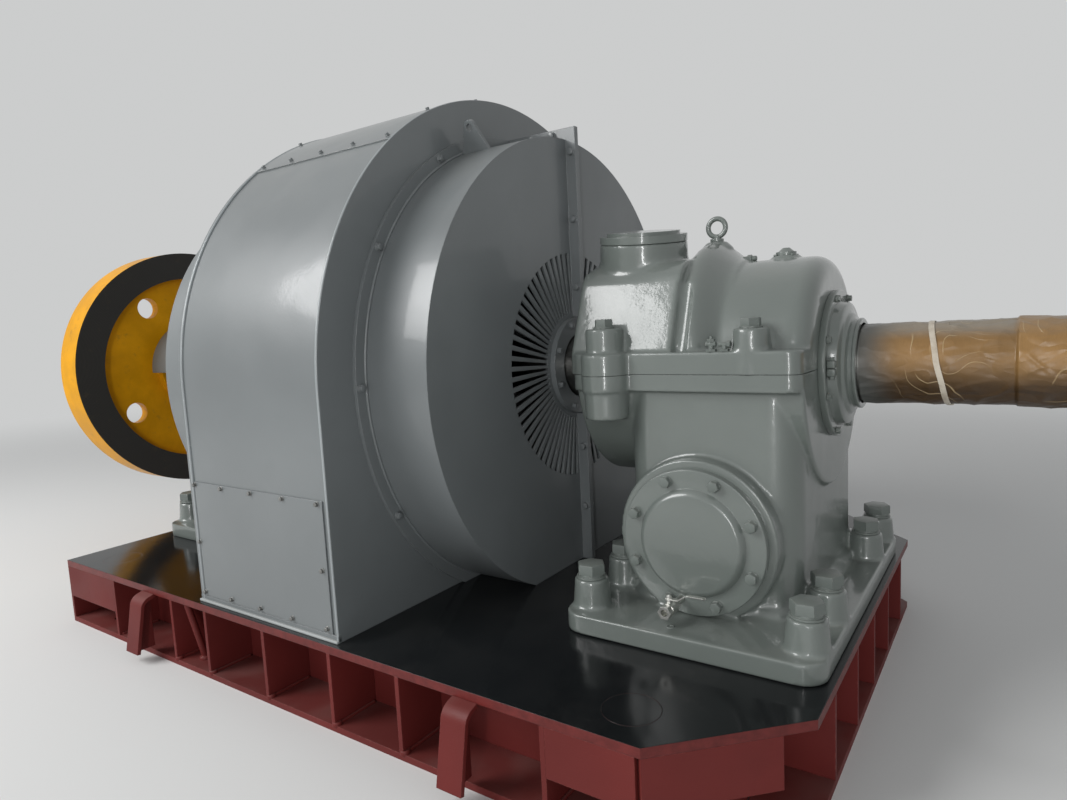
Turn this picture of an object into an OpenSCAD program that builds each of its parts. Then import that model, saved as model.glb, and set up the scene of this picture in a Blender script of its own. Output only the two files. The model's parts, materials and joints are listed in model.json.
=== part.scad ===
// Horizontal hydroelectric generator on its fabricated base frame.
// Millimetres. X runs along the shaft towards the turbine end, Z is up, and the origin is on the
// underside of the base frame, at its middle.

/* [Shaft line] */
// Height of the shaft axis over the underside of the base
shaft_z = 1130; // [1120:5:1160]
// Radius of the shaft extension
shaft_r = 125; // [118:1:128]
// Radius of the journals in the bearing bushes
journal_r = 115; // [110:1:116]
// Radial running clearance of a journal in its bush
journal_gap = 0.08; // [0.03:0.01:0.1]
// How far the shaft extension reaches past the front bearing
shaft_out = 706; // [640:1:760]
// Radius of the runner's seat on the shaft end
seat_r = 100; // [90:5:105]
// Length of the runner's seat
seat_len = 180; // [150:10:220]

/* [Base frame] */
// How far the base stands out past the housing on both sides
base_ledge = 30; // [20:5:40]
// Base left over past the front pedestal's foot
front_margin = 18; // [10:2:30]
// Base left over past the rear pedestal's foot
rear_margin = 40; // [20:5:60]
// Height of the base frame
base_h = 300; // [280:10:320]
// Cut-off corners at the turbine end
base_chamfer = 330; // [300:10:345]
// Thickness of the top plate
top_t = 28; // [20:2:40]
// Thickness of the foot flanges
foot_t = 22; // [16:2:30]
// Width of the foot flanges
foot_w = 240; // [200:10:280]
// Thickness of webs and ribs
web_t = 16; // [12:1:20]
// How far the webs stand back from the edge
web_inset = 190; // [170:5:220]
// Distance of the foundation bolts from the sides of the base
anchor_edge = 100; // [95:5:110]
// Distance of the rear foundation bolts from the rear end of the base
anchor_rear = 235; // [220:5:250]
// Distance of the front foundation bolts from the cut-off corners
anchor_front = 95; // [90:5:110]
// Radius of a foundation bolt hole
anchor_hole_r = 22; // [16:1:28]
// Radius of the hatches over the foundation bolts
hatch_r = 80; // [70:5:85]

/* [Stator housing] */
// Radius of the rounded roof, and half the width
housing_r = 1100; // [1080:5:1120]
// Length of the housing
housing_len = 805; // [780:5:820]
// Thickness of the housing plates
sheet_t = 12; // [8:1:16]
// Half the angle of the bolted roof cover
roof_half_angle = 39; // [34:1:42]
// Thickness of the roof cover and of the access panels
cover_t = 5; // [4:1:6]
// Height of the access panels above the base
panel_h = 476; // [440:4:500]

/* [End shrouds] */
// Radius of the round end shrouds
shroud_r = 910; // [900:5:920]
// How far the front shroud stands out
front_shroud_len = 290; // [280:5:300]
// How far the rear shroud stands out
rear_shroud_len = 445; // [430:5:450]
// Thickness of the shroud plates
shroud_t = 10; // [8:1:14]
// Width of the flange around the foot of a shroud
root_flange_w = 46; // [40:1:50]
// Height of the bolted flanges where the halves meet
seam_h = 45; // [36:1:50]
// Thickness of one of those flanges
seam_t = 12; // [8:1:14]
// Outer radius of the ring of air slots
slot_r1 = 458; // [440:2:480]
// Inner radius of the ring of air slots
slot_r0 = 218; // [214:2:240]
// Number of air slots around the full circle
slot_count = 72; // [60:4:80]

/* [Pedestal bearings] */
// From the face of the front shroud to the middle of the front pedestal's foot
front_span = 712; // [705:1:730]
// From the face of the rear shroud to the middle of the rear pedestal
rear_span = 335; // [330:1:350]
// How far the front pedestal's foot reaches past its body at both ends
front_foot_out = 128; // [124:1:132]
// Width of both feet across the shaft
foot_span = 1334; // [1320:2:1340]
// Thickness of a foot
foot_plate_t = 65; // [55:5:75]
// Length of the front pedestal's body
front_body_len = 574; // [560:2:580]
// Width of a pedestal's body
body_w = 820; // [800:5:830]
// Radius of the body's upright corners
body_corner_r = 100; // [80:5:110]
// Width of the flange at the split line
split_w = 880; // [870:5:890]
// Thickness of the bearing cap's flange at the split line
split_t = 72; // [66:2:78]
// Thickness of the pedestal's flange at the split line
split_low_t = 55; // [50:1:60]
// Length of the rear pedestal's foot
rear_foot_len = 560; // [550:5:570]

/* [Flywheel] */
// Radius of the flywheel
wheel_r = 720; // [700:5:740]
// Width of its rim
wheel_w = 182; // [170:2:190]
// From the middle of the rear pedestal to the near face of the rim
wheel_span = 974; // [960:1:990]
// Inner radius of the flat band on the rim
wheel_band_r = 562; // [550:2:575]
// Radius of the round holes in the web
wheel_hole_r = 62; // [55:1:66]
// Radius of the circle on which they lie
wheel_hole_pcr = 455; // [445:5:465]

/* [Hidden] */
$fn = 96;
cut = 3000;           // side of the blocks that trim larger shapes

// Along the shaft, from the rear end of the base to its front end
front_foot_len = front_body_len + 2 * front_foot_out;
base_len = rear_margin + rear_foot_len / 2 + rear_span + rear_shroud_len + housing_len
    + front_shroud_len + front_span + front_foot_len / 2 + front_margin;
base_x0 = -base_len / 2;
base_x1 = base_len / 2;
rear_x = base_x0 + rear_margin + rear_foot_len / 2;
rear_shroud_x = rear_x + rear_span;
housing_x0 = rear_shroud_x + rear_shroud_len;
housing_x1 = housing_x0 + housing_len;
front_shroud_x = housing_x1 + front_shroud_len;
front_x = front_shroud_x + front_span;
wheel_x = rear_x - wheel_span;

// Base frame
base_w = 2 * (housing_r + base_ledge);
base_y = base_w / 2;
anchor_x0 = base_x0 + anchor_rear;
anchor_x1 = base_x1 - base_chamfer - anchor_front;
anchor_y = base_y - anchor_edge;
hatch_y = anchor_y - 45;
bay_h = base_h - top_t - foot_t;
web_y = base_y - web_inset;
end_web_x = base_x1 - web_inset;
rib_stations = [for (share = [-0.37, -0.2275, -0.1545, -0.0446, 0.0623, 0.1563, 0.3156]) share * base_len];
end_rib_stations = [for (share = [-0.2655, -0.128, 0, 0.128, 0.2655]) share * base_w];
cross_stations = [for (share = [-0.449, -0.3234, -0.1677, 0, 0.1677, 0.3234]) share * base_len];
bracket_stations = [for (share = [-0.2787, 0.238]) share * base_len];
bracket_out = 130;    // how far an anchor bracket stands out at its foot
bracket_top_out = 80; // and at its shoulder
bracket_flange_w = 90;
bracket_low = 32;     // how far the shoulder lies below the top plate's underside
tie_w = 180;          // width of the foot ties
closing_share = 0.58; // part of the bay's height that the closing panels cover
closing_rear_len = 180;
chamfer_share = 0.8;  // part of the cut-off corner that its panel covers
fit_gap = 0.5;

// Stator housing
wall_hole_r = 780;
core_r = 790;
bore_r = 566;
air_gap = 6;
core_len = 520;
core_x = (housing_x0 + housing_x1) / 2;
sill_h = 24;
sill_w = 14;
panel_margin = 60;

// End shrouds
root_flange_t = 15;
seal_r = 200;
seal_t = 22;
seal_gap = 6;
slot_w0 = 8;
slot_w1 = 22;
lug_angle = 21;
lug_len = 130;
lug_h = 120;
lug_t = 16;
lug_eye_r = 26;
lug_neck = 24;        // half the lug's width under its eye

// Front bearing, whose shell reaches further towards the generator than the body below it
shell_back = 188;     // how far it does
pad_t = 17;           // raised pad on the body under the outer end cover
pad_w = 380;
pad_h = 309;
end_pad = 2;          // how far the turned face under the outer end cover stands out
shell_x0 = front_x - front_body_len / 2 - shell_back;
shell_x1 = front_x + front_body_len / 2 + pad_t + 1 + end_pad;
shell_mid_x = (shell_x0 + shell_x1 - end_pad) / 2;
hull_r = 408;         // round underside of the shell
barrel_r = 362;
barrel_round = 60;
lobe_x1 = shell_mid_x - 12;
lobe_top = 372;       // top of the lobe with the inspection port, over the shaft axis
lobe_slope = 21;      // its sides lean in by this angle
shoulder_r = 110;
shoulder_y = 235;     // middle of its rounded shoulder
crest_r = 420;        // leaning ridge under the eye bolt
crest_root_r = 340;
crest_half = 115;
crest_rise = 20;
crest_lean = 7;
crest_x = shell_mid_x - 9;
crease_x = lobe_x1 + 20;
crease_r = 26;
crease_h = 250;
split_x0 = shell_x0;
split_x1 = shell_x1 - end_pad;
split_corner_r = 45;
gen_bolt_x = shell_x0 + 143;
gen_bolt_y = 440;
gen_boss_r = 63;
gen_boss_h = 155;
gen_lug_r = 82;       // lugs of both flanges around these two bolts
hang_boss_r = 72;     // foot of the bosses that hang below them
hang_boss_h = 95;
turb_bolt_x = shell_x1 - 160;
turb_bolt_y = 384;
turb_boss_r = 62;
turb_boss_h = 140;
boss_draft = 8;
crest_boss_r = 60;    // boss under the eye bolt, at its foot
vent_boss_r = 62;     // boss under the vent cap, at its foot
vent_x = shell_mid_x + 235;
foot_corner_r = 75;
foot_z = base_h + foot_plate_t;
plinth_out = 20;      // step around the foot of a pedestal's body
plinth_h = 29;
body_top_z = shaft_z - split_low_t;
hold_x = front_body_len / 2 + 62;
hold_y0 = 320;
hold_y1 = 560;
boss_r0 = 65;
boss_r1 = 56;
boss_h = 96;
bolt_af = 85;         // across the flats of a hold-down bolt's head
cap_bolt_af = 55;
port_x = shell_x0 + 170;
port_y = -170;
port_r = 155;
port_rise = 453;      // middle of the port's rim over the shaft axis
port_z = shaft_z + port_rise;
port_len = 125;
port_flare = 6;       // how much wider the port's neck is at its root
port_lean = 7;        // the port leans out to the near side
port_pitch = 4;       // and to the turbine end
lid_t = 26;
lid_plate_r = 130;
lid_plate_t = 12;
cover_x = front_x - 16;
cover_boss_r = 262;
cover_sink = 25;      // how far the boss of a side cover dips below the foot's top
cover_z = foot_z + cover_boss_r - cover_sink;
cover_stand = 60;     // how far the boss of a side cover stands out
cover_disc_t = 28;
cover_r = 236;
dish_r = 178;
end_cover_r = 245;
end_cover_t = 22;     // its flange
end_hub_r = shaft_r + 17;
end_hub_len = 28;
valve_x = cover_x - 40;
valve_z = cover_z - 188;
valve_y = -(body_w / 2 + 180);
valve_mouth = 40;     // from the middle of the valve to its mouth
lever_len = 118;
lever_w = 18;
bush_r = 175;
bush_len = 300;

// Rear bearing
rear_body_len = 330;
rear_shell_len = 440;
rear_shell_r = 330;
rear_split_w = 800;
rear_split_t = 50;
rear_body_w = 620;
rear_body_corner_r = 80;
rear_hold_x = 215;
rear_cap_bolt_x = 130;
rear_cap_bolt_y = rear_shell_r + 20;
rear_cap_boss_h = 120;
rear_cap_boss_r = 45;

// Flywheel and shaft
web_recess = 55;
web_thick = 65;
hub_r = 230;
shaft_x0 = wheel_x - wheel_w - 40;
shaft_end_x = shell_x1 + shaft_out;
guard_r = 300;
guard_t = 6;
end_cover_len = 90;
rear_cover_len = 68;
wrap_t = 3.5;
wrap_x0 = shell_x1 + end_cover_len + 10;
strap_out = 296;
strap_x = shell_x1 + strap_out;
strap_w = 20;

// Building blocks

module along_x() {
    rotate([90, 0, 90]) children();
}

module rounded_rect(l, w, r) {
    square([l - 2 * r, w], center = true);
    square([l, w - 2 * r], center = true);
    for (sx = [-1, 1], sy = [-1, 1])
        translate([sx * (l / 2 - r), sy * (w / 2 - r)]) circle(r);
}

module on_axis(x0, x1, r) {
    translate([x0, 0, shaft_z]) rotate([0, 90, 0]) cylinder(h = x1 - x0, r = r);
}

module ring_on_axis(x0, x1, r_out, r_in) {
    difference() {
        on_axis(x0, x1, r_out);
        on_axis(x0 - 1, x1 + 1, r_in);
    }
}

module hexagon_bolt(af, h, washer_r, washer_t) {
    cylinder(h = washer_t, r = washer_r, $fn = 48);
    translate([0, 0, washer_t]) cylinder(h = h, d = af / cos(30), $fn = 6);
}

module keep_above(z) {
    intersection() {
        children();
        translate([-cut, -cut, z]) cube(2 * cut);
    }
}

module keep_below(z) {
    intersection() {
        children();
        translate([-cut, -cut, z - 2 * cut]) cube(2 * cut);
    }
}

module mirror_y() {
    children();
    mirror([0, 1, 0]) children();
}

// Base frame

module base_outline() {
    polygon([
        [base_x0, -base_y], [base_x1 - base_chamfer, -base_y], [base_x1, -base_y + base_chamfer],
        [base_x1, base_y - base_chamfer], [base_x1 - base_chamfer, base_y], [base_x0, base_y]
    ]);
}

module at_anchors(y) {
    for (x = [anchor_x0, anchor_x1], s = [-1, 1])
        translate([x, s * y]) children();
}

module base_top_plate() {
    color("black")
    difference() {
        translate([0, 0, base_h - top_t]) linear_extrude(top_t) base_outline();
        at_anchors(hatch_y) translate([0, 0, base_h - top_t - 1]) cylinder(h = top_t + 2, r = hatch_r);
    }
}

module base_hatch_covers() {
    color("black")
    at_anchors(hatch_y) translate([0, 0, base_h - top_t]) cylinder(h = top_t, r = hatch_r - fit_gap);
}

module base_foot_flanges() {
    color("firebrick")
    difference() {
        linear_extrude(foot_t) intersection() {
            base_outline();
            for (s = [-1, 1])
                translate([0, s * (base_y - foot_w / 2)]) square([base_len, foot_w], center = true);
        }
        at_anchors(anchor_y) translate([0, 0, -1]) cylinder(h = foot_t + 2, r = anchor_hole_r);
    }
}

module base_foot_ties() {
    color("firebrick")
    for (x = [base_x0 + tie_w / 2, cross_stations[2], 0, cross_stations[4], base_x1 - tie_w / 2])
        linear_extrude(foot_t) intersection() {
            base_outline();
            translate([x, 0]) square([tie_w, base_w - 2 * foot_w], center = true);
        }
}

module base_side_webs() {
    color("firebrick")
    for (s = [-1, 1])
        translate([base_x0 + web_t, s * web_y - web_t / 2, foot_t])
            cube([end_web_x + web_t / 2 - base_x0 - web_t, web_t, bay_h]);
}

module base_cross_webs() {
    color("firebrick") {
        for (x = concat(cross_stations, [end_web_x]))
            translate([x - web_t / 2, -web_y + web_t / 2, foot_t]) cube([web_t, 2 * web_y - web_t, bay_h]);
        translate([base_x0, -base_y, foot_t]) cube([web_t, base_w, bay_h]);
    }
}

module base_ribs() {
    rib_len = web_inset - web_t / 2;
    color("firebrick") {
        mirror_y()
        for (x = rib_stations)
            translate([x - web_t / 2, -base_y, foot_t]) cube([web_t, rib_len, bay_h]);
        for (y = end_rib_stations)
            translate([base_x1 - rib_len, y - web_t / 2, foot_t]) cube([rib_len, web_t, bay_h]);
    }
}

module anchor_bracket() {
    shoulder_z = base_h - top_t - bracket_low;
    translate([-web_t / 2, 0, 0]) along_x() linear_extrude(web_t) polygon([
        [0, 0], [web_t - bracket_out, 0], [web_t - bracket_top_out, shoulder_z], [0, shoulder_z + web_t]
    ]);
    translate([-bracket_flange_w / 2, 0, 0]) along_x() linear_extrude(bracket_flange_w) polygon([
        [-bracket_out, 0], [web_t - bracket_out, 0], [web_t - bracket_top_out, shoulder_z],
        [0, shoulder_z + web_t], [0, shoulder_z + 2 * web_t - 2], [-bracket_top_out, shoulder_z + web_t]
    ]);
}

module base_anchor_brackets() {
    color("firebrick")
    mirror_y()
    for (x = bracket_stations)
        translate([x, -base_y, 0]) anchor_bracket();
}

module base_closing_panels() {
    panel_z = foot_t + bay_h * (1 - closing_share);
    panel_hh = base_h - top_t - panel_z;
    last_rib_x = rib_stations[6];
    corner_x = base_x1 - base_chamfer;
    color("firebrick")
    mirror_y() {
        translate([base_x0 + web_t, -base_y, panel_z]) cube([closing_rear_len, web_t, panel_hh]);
        translate([last_rib_x + web_t / 2, -base_y, panel_z])
            cube([corner_x - last_rib_x - 1.5 * web_t, web_t, panel_hh]);
        translate([corner_x, -base_y, panel_z]) rotate([0, 0, 45])
            cube([base_chamfer * sqrt(2) * chamfer_share, web_t, panel_hh]);
    }
}

// Stator housing

module housing_outline(r) {
    intersection() {
        union() {
            circle(r, $fn = 180);
            translate([-r, -cut]) square([2 * r, cut]);
        }
        translate([-cut, base_h - shaft_z]) square(2 * cut);
    }
}

module stator_wrapper() {
    color("slategray")
    translate([housing_x0 + sheet_t, 0, shaft_z]) along_x()
    linear_extrude(housing_len - 2 * sheet_t) difference() {
        housing_outline(housing_r - cover_t);
        housing_outline(housing_r - cover_t - sheet_t);
    }
}

module housing_end(x) {
    translate([x, 0, shaft_z]) along_x() linear_extrude(sheet_t) difference() {
        housing_outline(housing_r);
        circle(wall_hole_r);
    }
}

module stator_front_wall() {
    color("dimgray") housing_end(housing_x1 - sheet_t);
}

module stator_rear_wall() {
    color("dimgray") housing_end(housing_x0);
}

module stator_core() {
    color("dimgray")
    ring_on_axis(core_x - core_len / 2, core_x + core_len / 2, core_r, bore_r);
}

module stator_frame_plates() {
    color("slategray")
    for (x = [core_x - core_len / 2 + 40, core_x + core_len / 2 - 40 - sheet_t])
        translate([x, 0, shaft_z]) along_x() linear_extrude(sheet_t) difference() {
            housing_outline(housing_r - cover_t - sheet_t);
            circle(core_r);
        }
}

module roof_cover() {
    color("slategray")
    translate([housing_x0 + sheet_t, 0, shaft_z]) along_x()
    linear_extrude(housing_len - 2 * sheet_t) intersection() {
        difference() {
            circle(housing_r, $fn = 180);
            circle(housing_r - cover_t, $fn = 180);
        }
        polygon([
            [0, 0], [-cut * sin(roof_half_angle), cut * cos(roof_half_angle)],
            [cut * sin(roof_half_angle), cut * cos(roof_half_angle)]
        ]);
    }
}

module access_panels() {
    color("slategray")
    mirror_y()
    translate([housing_x0 + panel_margin / 2, -housing_r, base_h + sill_h])
        cube([housing_len - panel_margin, cover_t, panel_h - sill_h]);
}

module stator_sills() {
    color("lightgray")
    mirror_y()
    translate([housing_x0, -housing_r - sill_w, base_h]) cube([housing_len, sill_w, sill_h]);
}

// End shrouds. A shroud is built as if it stood out towards +X from x = 0.

module shroud_can(len) {
    difference() {
        union() {
            cylinder(h = len, r = shroud_r, $fn = 180);
            cylinder(h = root_flange_t, r = shroud_r + root_flange_w, $fn = 180);
        }
        translate([0, 0, -1]) cylinder(h = len - shroud_t + 1, r = shroud_r - shroud_t, $fn = 180);
        cylinder(h = len + 1, r = shaft_r + seal_gap);
    }
}

module slot() {
    polygon([
        [slot_r0, -slot_w0 / 2], [slot_r1, -slot_w1 / 2], [slot_r1, slot_w1 / 2], [slot_r0, slot_w0 / 2]
    ]);
}

module half_shroud(len) {
    steps = slot_count / 2 - 1;
    keep_above(base_h)
    translate([0, 0, shaft_z]) {
        difference() {
            rotate([0, 90, 0]) shroud_can(len);
            translate([-1, 0, -cut / 2]) cube([len + 2, cut, cut]);
            for (k = [1 : steps])
                translate([len - shroud_t - 1, 0, 0]) along_x()
                    linear_extrude(shroud_t + 2) rotate(90 + k * 360 / slot_count) slot();
        }
        // upright flange across the face and over the top
        difference() {
            translate([0, -seam_t, base_h - shaft_z])
                cube([len + seam_h, seam_t, shaft_z - base_h + shroud_r + seam_h]);
            rotate([0, 90, 0]) translate([0, 0, -1]) cylinder(h = len, r = shroud_r - 1, $fn = 180);
            rotate([0, 90, 0]) cylinder(h = 2 * len, r = seal_r + 2);
        }
    }
}

module lifting_lug() {
    eye_h = lug_h - lug_eye_r;
    rotate([lug_angle, 0, 0]) translate([root_flange_t + 3, lug_t / 2, shroud_r - 3]) rotate([90, 0, 0])
    linear_extrude(lug_t) difference() {
        union() {
            polygon([
                [0, 0], [lug_len, 0], [lug_len / 2 + lug_neck, eye_h + 6], [lug_len / 2 - lug_neck, eye_h + 6]
            ]);
            translate([lug_len / 2, eye_h]) circle(lug_eye_r);
        }
        translate([lug_len / 2, eye_h]) circle(lug_eye_r / 2);
    }
}

module front_shroud_near() {
    color("slategray") translate([housing_x1, 0, 0]) {
        half_shroud(front_shroud_len);
        translate([0, 0, shaft_z]) lifting_lug();
    }
}

module front_shroud_far() {
    color("slategray") mirror([0, 1, 0]) translate([housing_x1, 0, 0]) {
        half_shroud(front_shroud_len);
        translate([0, 0, shaft_z]) lifting_lug();
    }
}

module rear_shroud_near() {
    color("slategray") translate([housing_x0, 0, 0]) mirror([1, 0, 0]) half_shroud(rear_shroud_len);
}

module rear_shroud_far() {
    color("slategray")
    mirror([0, 1, 0]) translate([housing_x0, 0, 0]) mirror([1, 0, 0]) half_shroud(rear_shroud_len);
}

module shaft_seals() {
    color("slategray")
    for (x = [front_shroud_x, rear_shroud_x - seal_t])
        ring_on_axis(x, x + seal_t, seal_r, shaft_r + seal_gap);
}

// Front pedestal bearing

// Radius of the ridge under the eye bolt, at a share of its half-width
function ridge_radius(t) = crest_root_r + (crest_r - crest_root_r) * (1 + cos(180 * t)) / 2;

// Half of the lobe's section: foot, leaning side, rounded shoulder, flat top
lobe_half = concat(
    [for (z = [0, split_t]) [lobe_side(split_t), z]],
    [for (a = [lobe_slope : (90 - lobe_slope) / 6 : 90.1])
        [shoulder_y + shoulder_r * cos(a), lobe_top - shoulder_r + shoulder_r * sin(a)]]
);
function lobe_side(z) =
    shoulder_y + shoulder_r * cos(lobe_slope)
    + (lobe_top - shoulder_r + shoulder_r * sin(lobe_slope) - z) * tan(lobe_slope);

module lobe() {
    translate([shell_x0, 0, shaft_z]) along_x() linear_extrude(lobe_x1 - shell_x0) {
        polygon(concat(lobe_half, [[0, lobe_top], [0, 0]]));
        mirror([1, 0]) polygon(concat(lobe_half, [[0, lobe_top], [0, 0]]));
    }
}

module crest() {
    steps = 14;
    keep_above(shaft_z)
    translate([crest_x + crest_r * sin(crest_lean), 0, shaft_z + crest_rise]) rotate([0, 90 - crest_lean, 0])
    rotate_extrude($fn = 120) polygon(concat(
        [[0, -crest_half]],
        [for (k = [-steps : steps]) [ridge_radius(k / steps), crest_half * k / steps]],
        [[0, crest_half]]
    ));
}

module barrel() {
    keep_above(shaft_z)
    translate([0, 0, shaft_z]) rotate([0, 90, 0]) rotate_extrude($fn = 120) polygon(concat(
        [[0, lobe_x1 - 1], [barrel_r, lobe_x1 - 1]],
        [for (a = [0 : 15 : 90]) [
            barrel_r - barrel_round + barrel_round * cos(a), shell_x1 - barrel_round + barrel_round * sin(a)
        ]],
        [[0, shell_x1]]
    ));
}

module shell_solid() {
    on_axis(shell_x0 + 8, shell_x1, hull_r);
}

module split_flange(z0, z1) {
    translate([(split_x0 + split_x1) / 2, 0, z0]) linear_extrude(z1 - z0)
        rounded_rect(split_x1 - split_x0, split_w, split_corner_r);
}

module at_gen_bolts() {
    mirror_y() translate([gen_bolt_x, -gen_bolt_y, 0]) children();
}

module at_turb_bolts() {
    mirror_y() translate([turb_bolt_x, -turb_bolt_y, 0]) children();
}

module at_hold_down_bolts(mid_x, dx) {
    for (sx = [-1, 1], sy = [-1, 1], y = [hold_y0, hold_y1])
        translate([mid_x + sx * dx, sy * y, 0]) children();
}

module foot_plate(mid_x, len) {
    translate([mid_x, 0, base_h]) linear_extrude(foot_plate_t) rounded_rect(len, foot_span, foot_corner_r);
}

module front_pedestal() {
    color("lightslategray")
    difference() {
        union() {
            foot_plate(front_x, front_foot_len);
            translate([front_x, 0, base_h]) linear_extrude(body_top_z - base_h)
                rounded_rect(front_body_len, body_w, body_corner_r);
            translate([front_x, 0, base_h]) linear_extrude(foot_plate_t + plinth_h)
                rounded_rect(front_body_len + 2 * plinth_out, body_w + 2 * plinth_out,
                    body_corner_r + plinth_out);
            keep_below(shaft_z) shell_solid();
            split_flange(body_top_z, shaft_z);
            at_hold_down_bolts(front_x, hold_x)
                translate([0, 0, foot_z - 1]) cylinder(h = boss_h + 1, r1 = boss_r0, r2 = boss_r1);
            at_gen_bolts() {
                translate([0, 0, body_top_z]) cylinder(h = split_low_t, r = gen_lug_r);
                translate([0, 0, body_top_z - hang_boss_h])
                    cylinder(h = hang_boss_h + 1, r1 = hang_boss_r, r2 = hang_boss_r + 3);
            }
            mirror_y() translate([cover_x, 0, cover_z]) rotate([90, 0, 0])
                cylinder(h = body_w / 2 + cover_stand, r = cover_boss_r);
            translate([front_x, -pad_w / 2, body_top_z - pad_h])
                cube([front_body_len / 2 + pad_t, pad_w, pad_h]);
        }
        on_axis(shell_x0 - 1, shell_x1 + 1, bush_r);
    }
}

module at_port() {
    translate([port_x, port_y, port_z]) rotate([port_lean, port_pitch, 0]) children();
}

module front_bearing_cap() {
    crest_top = crest_rise + crest_r * cos(crest_lean);
    color("lightslategray")
    difference() {
        union() {
            lobe();
            crest();
            barrel();
            split_flange(shaft_z, shaft_z + split_t);
            at_port() translate([0, 0, -port_len])
                cylinder(h = port_len, r1 = port_r + port_flare, r2 = port_r);
            at_gen_bolts() {
                translate([0, 0, shaft_z]) cylinder(h = split_t, r = gen_lug_r);
                translate([0, 0, shaft_z]) cylinder(h = gen_boss_h, r = gen_boss_r);
            }
            at_turb_bolts() translate([0, 0, shaft_z])
                cylinder(h = turb_boss_h, r1 = turb_boss_r, r2 = turb_boss_r - boss_draft);
            translate([crest_x, 0, shaft_z + crest_top - 20])
                cylinder(h = 26, r1 = crest_boss_r, r2 = crest_boss_r - 26);
            translate([vent_x, 0, shaft_z + barrel_r - 30])
                cylinder(h = 40, r1 = vent_boss_r, r2 = vent_boss_r - 16);
        }
        on_axis(shell_x0 - 1, shell_x1 + 1, bush_r);
        // the crease between the lobe and the ridge
        mirror_y() translate([crease_x, -lobe_side(split_t), shaft_z + split_t])
            rotate([-lobe_slope, 0, 0]) cylinder(h = crease_h, r = crease_r);
    }
}

module front_bearing_bush() {
    color("goldenrod")
    ring_on_axis(shell_mid_x - bush_len / 2, shell_mid_x + bush_len / 2, bush_r, journal_r + journal_gap);
}

module inspection_lid() {
    color("lightslategray")
    at_port() {
        cylinder(h = lid_t, r = port_r);
        cylinder(h = lid_t + lid_plate_t, r = lid_plate_r);
    }
}

module side_cover() {
    rotate([90, 0, 0]) {
        cylinder(h = cover_disc_t, r = cover_r);
        translate([0, 0, cover_disc_t]) cylinder(h = 20, r1 = dish_r, r2 = dish_r - 12);
    }
}

module front_side_covers() {
    color("lightslategray")
    mirror_y() translate([cover_x, -body_w / 2 - cover_stand, cover_z]) side_cover();
}

module end_cover(sign, len) {
    rotate([0, 90, 0]) rotate_extrude() polygon(concat(
        [[shaft_r + seal_gap, 0], [end_cover_r, 0], [end_cover_r, sign * end_cover_t]],
        [for (a = [0 : 15 : 90]) [end_cover_r - 55 + 20 * cos(a), sign * (len - 52 + 20 * sin(a))]],
        [[end_hub_r, sign * (len - end_hub_len)], [end_hub_r - 2, sign * len]],
        [[shaft_r + seal_gap, sign * len]]
    ));
}

module front_outer_end_cover() {
    color("lightslategray") translate([shell_x1, 0, shaft_z]) end_cover(1, end_cover_len);
}

module front_inner_end_cover() {
    color("lightslategray") translate([shell_x0, 0, shaft_z]) end_cover(-1, end_cover_len);
}

module front_eye_bolt() {
    crest_top = crest_rise + crest_r * cos(crest_lean);
    color("lightslategray") translate([crest_x, 0, shaft_z + crest_top + 6]) {
        cylinder(h = 10, r = 24);
        cylinder(h = 22, r = 14);
        translate([0, 0, 50]) rotate([90, 0, 0]) rotate_extrude() translate([32, 0]) circle(9, $fn = 32);
    }
}

module vent_cap() {
    color("gray") translate([vent_x, 0, shaft_z + barrel_r + 10]) {
        cylinder(h = 12, r = 34);
        translate([0, 0, 12]) cylinder(h = 14, r1 = 28, r2 = 12);
    }
}

module front_hold_down_bolts() {
    color("lightslategray") at_hold_down_bolts(front_x, hold_x)
        translate([0, 0, foot_z + boss_h]) hexagon_bolt(bolt_af, 38, 54, 8);
    color("lightslategray") at_gen_bolts()
        translate([0, 0, shaft_z + gen_boss_h]) hexagon_bolt(cap_bolt_af, 26, 36, 5);
    color("lightslategray") at_turb_bolts()
        translate([0, 0, shaft_z + turb_boss_h]) hexagon_bolt(cap_bolt_af, 26, 36, 5);
}

module drain_valve() {
    cover_face = body_w / 2 + cover_stand + cover_disc_t;
    valve_len = valve_mouth - valve_y - cover_face;
    color("silver") translate([valve_x, 0, valve_z]) {
        // screwed ends and ball housing, bored through from the mouth
        translate([0, valve_y - valve_mouth, 0]) rotate([-90, 0, 0]) difference() {
            union() {
                cylinder(h = 26, d = 44, $fn = 6);
                translate([0, 0, 24]) cylinder(h = 34, r = 21);
                translate([0, 0, 56]) cylinder(h = 20, d = 44, $fn = 6);
                cylinder(h = valve_len, r = 12);
            }
            translate([0, 0, -1]) cylinder(h = 38, r = 11);
        }
        // stem under the lever
        translate([0, valve_y, 0]) cylinder(h = 30, r = 9);
    }
}

module drain_lever() {
    rise = 18;
    strap_t = 5;
    color("silver") translate([valve_x, valve_y, valve_z + 30.3]) {
        cylinder(h = 10, r = 14);
        translate([0, lever_w / 2, 0]) rotate([90, 0, 0]) linear_extrude(lever_w) polygon([
            [0, 2], [40, 2], [70, 2 + rise], [lever_len, 2 + rise],
            [lever_len, 2 + rise + strap_t], [68, 2 + rise + strap_t], [38, 2 + strap_t], [0, 2 + strap_t]
        ]);
    }
}

// Rear pedestal bearing

module rear_split_flange(z) {
    translate([rear_x, 0, z]) linear_extrude(rear_split_t)
        rounded_rect(rear_shell_len, rear_split_w, split_corner_r);
}

module at_rear_cap_bolts() {
    for (sx = [-1, 1], sy = [-1, 1])
        translate([rear_x + sx * rear_cap_bolt_x, sy * rear_cap_bolt_y, 0]) children();
}

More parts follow.
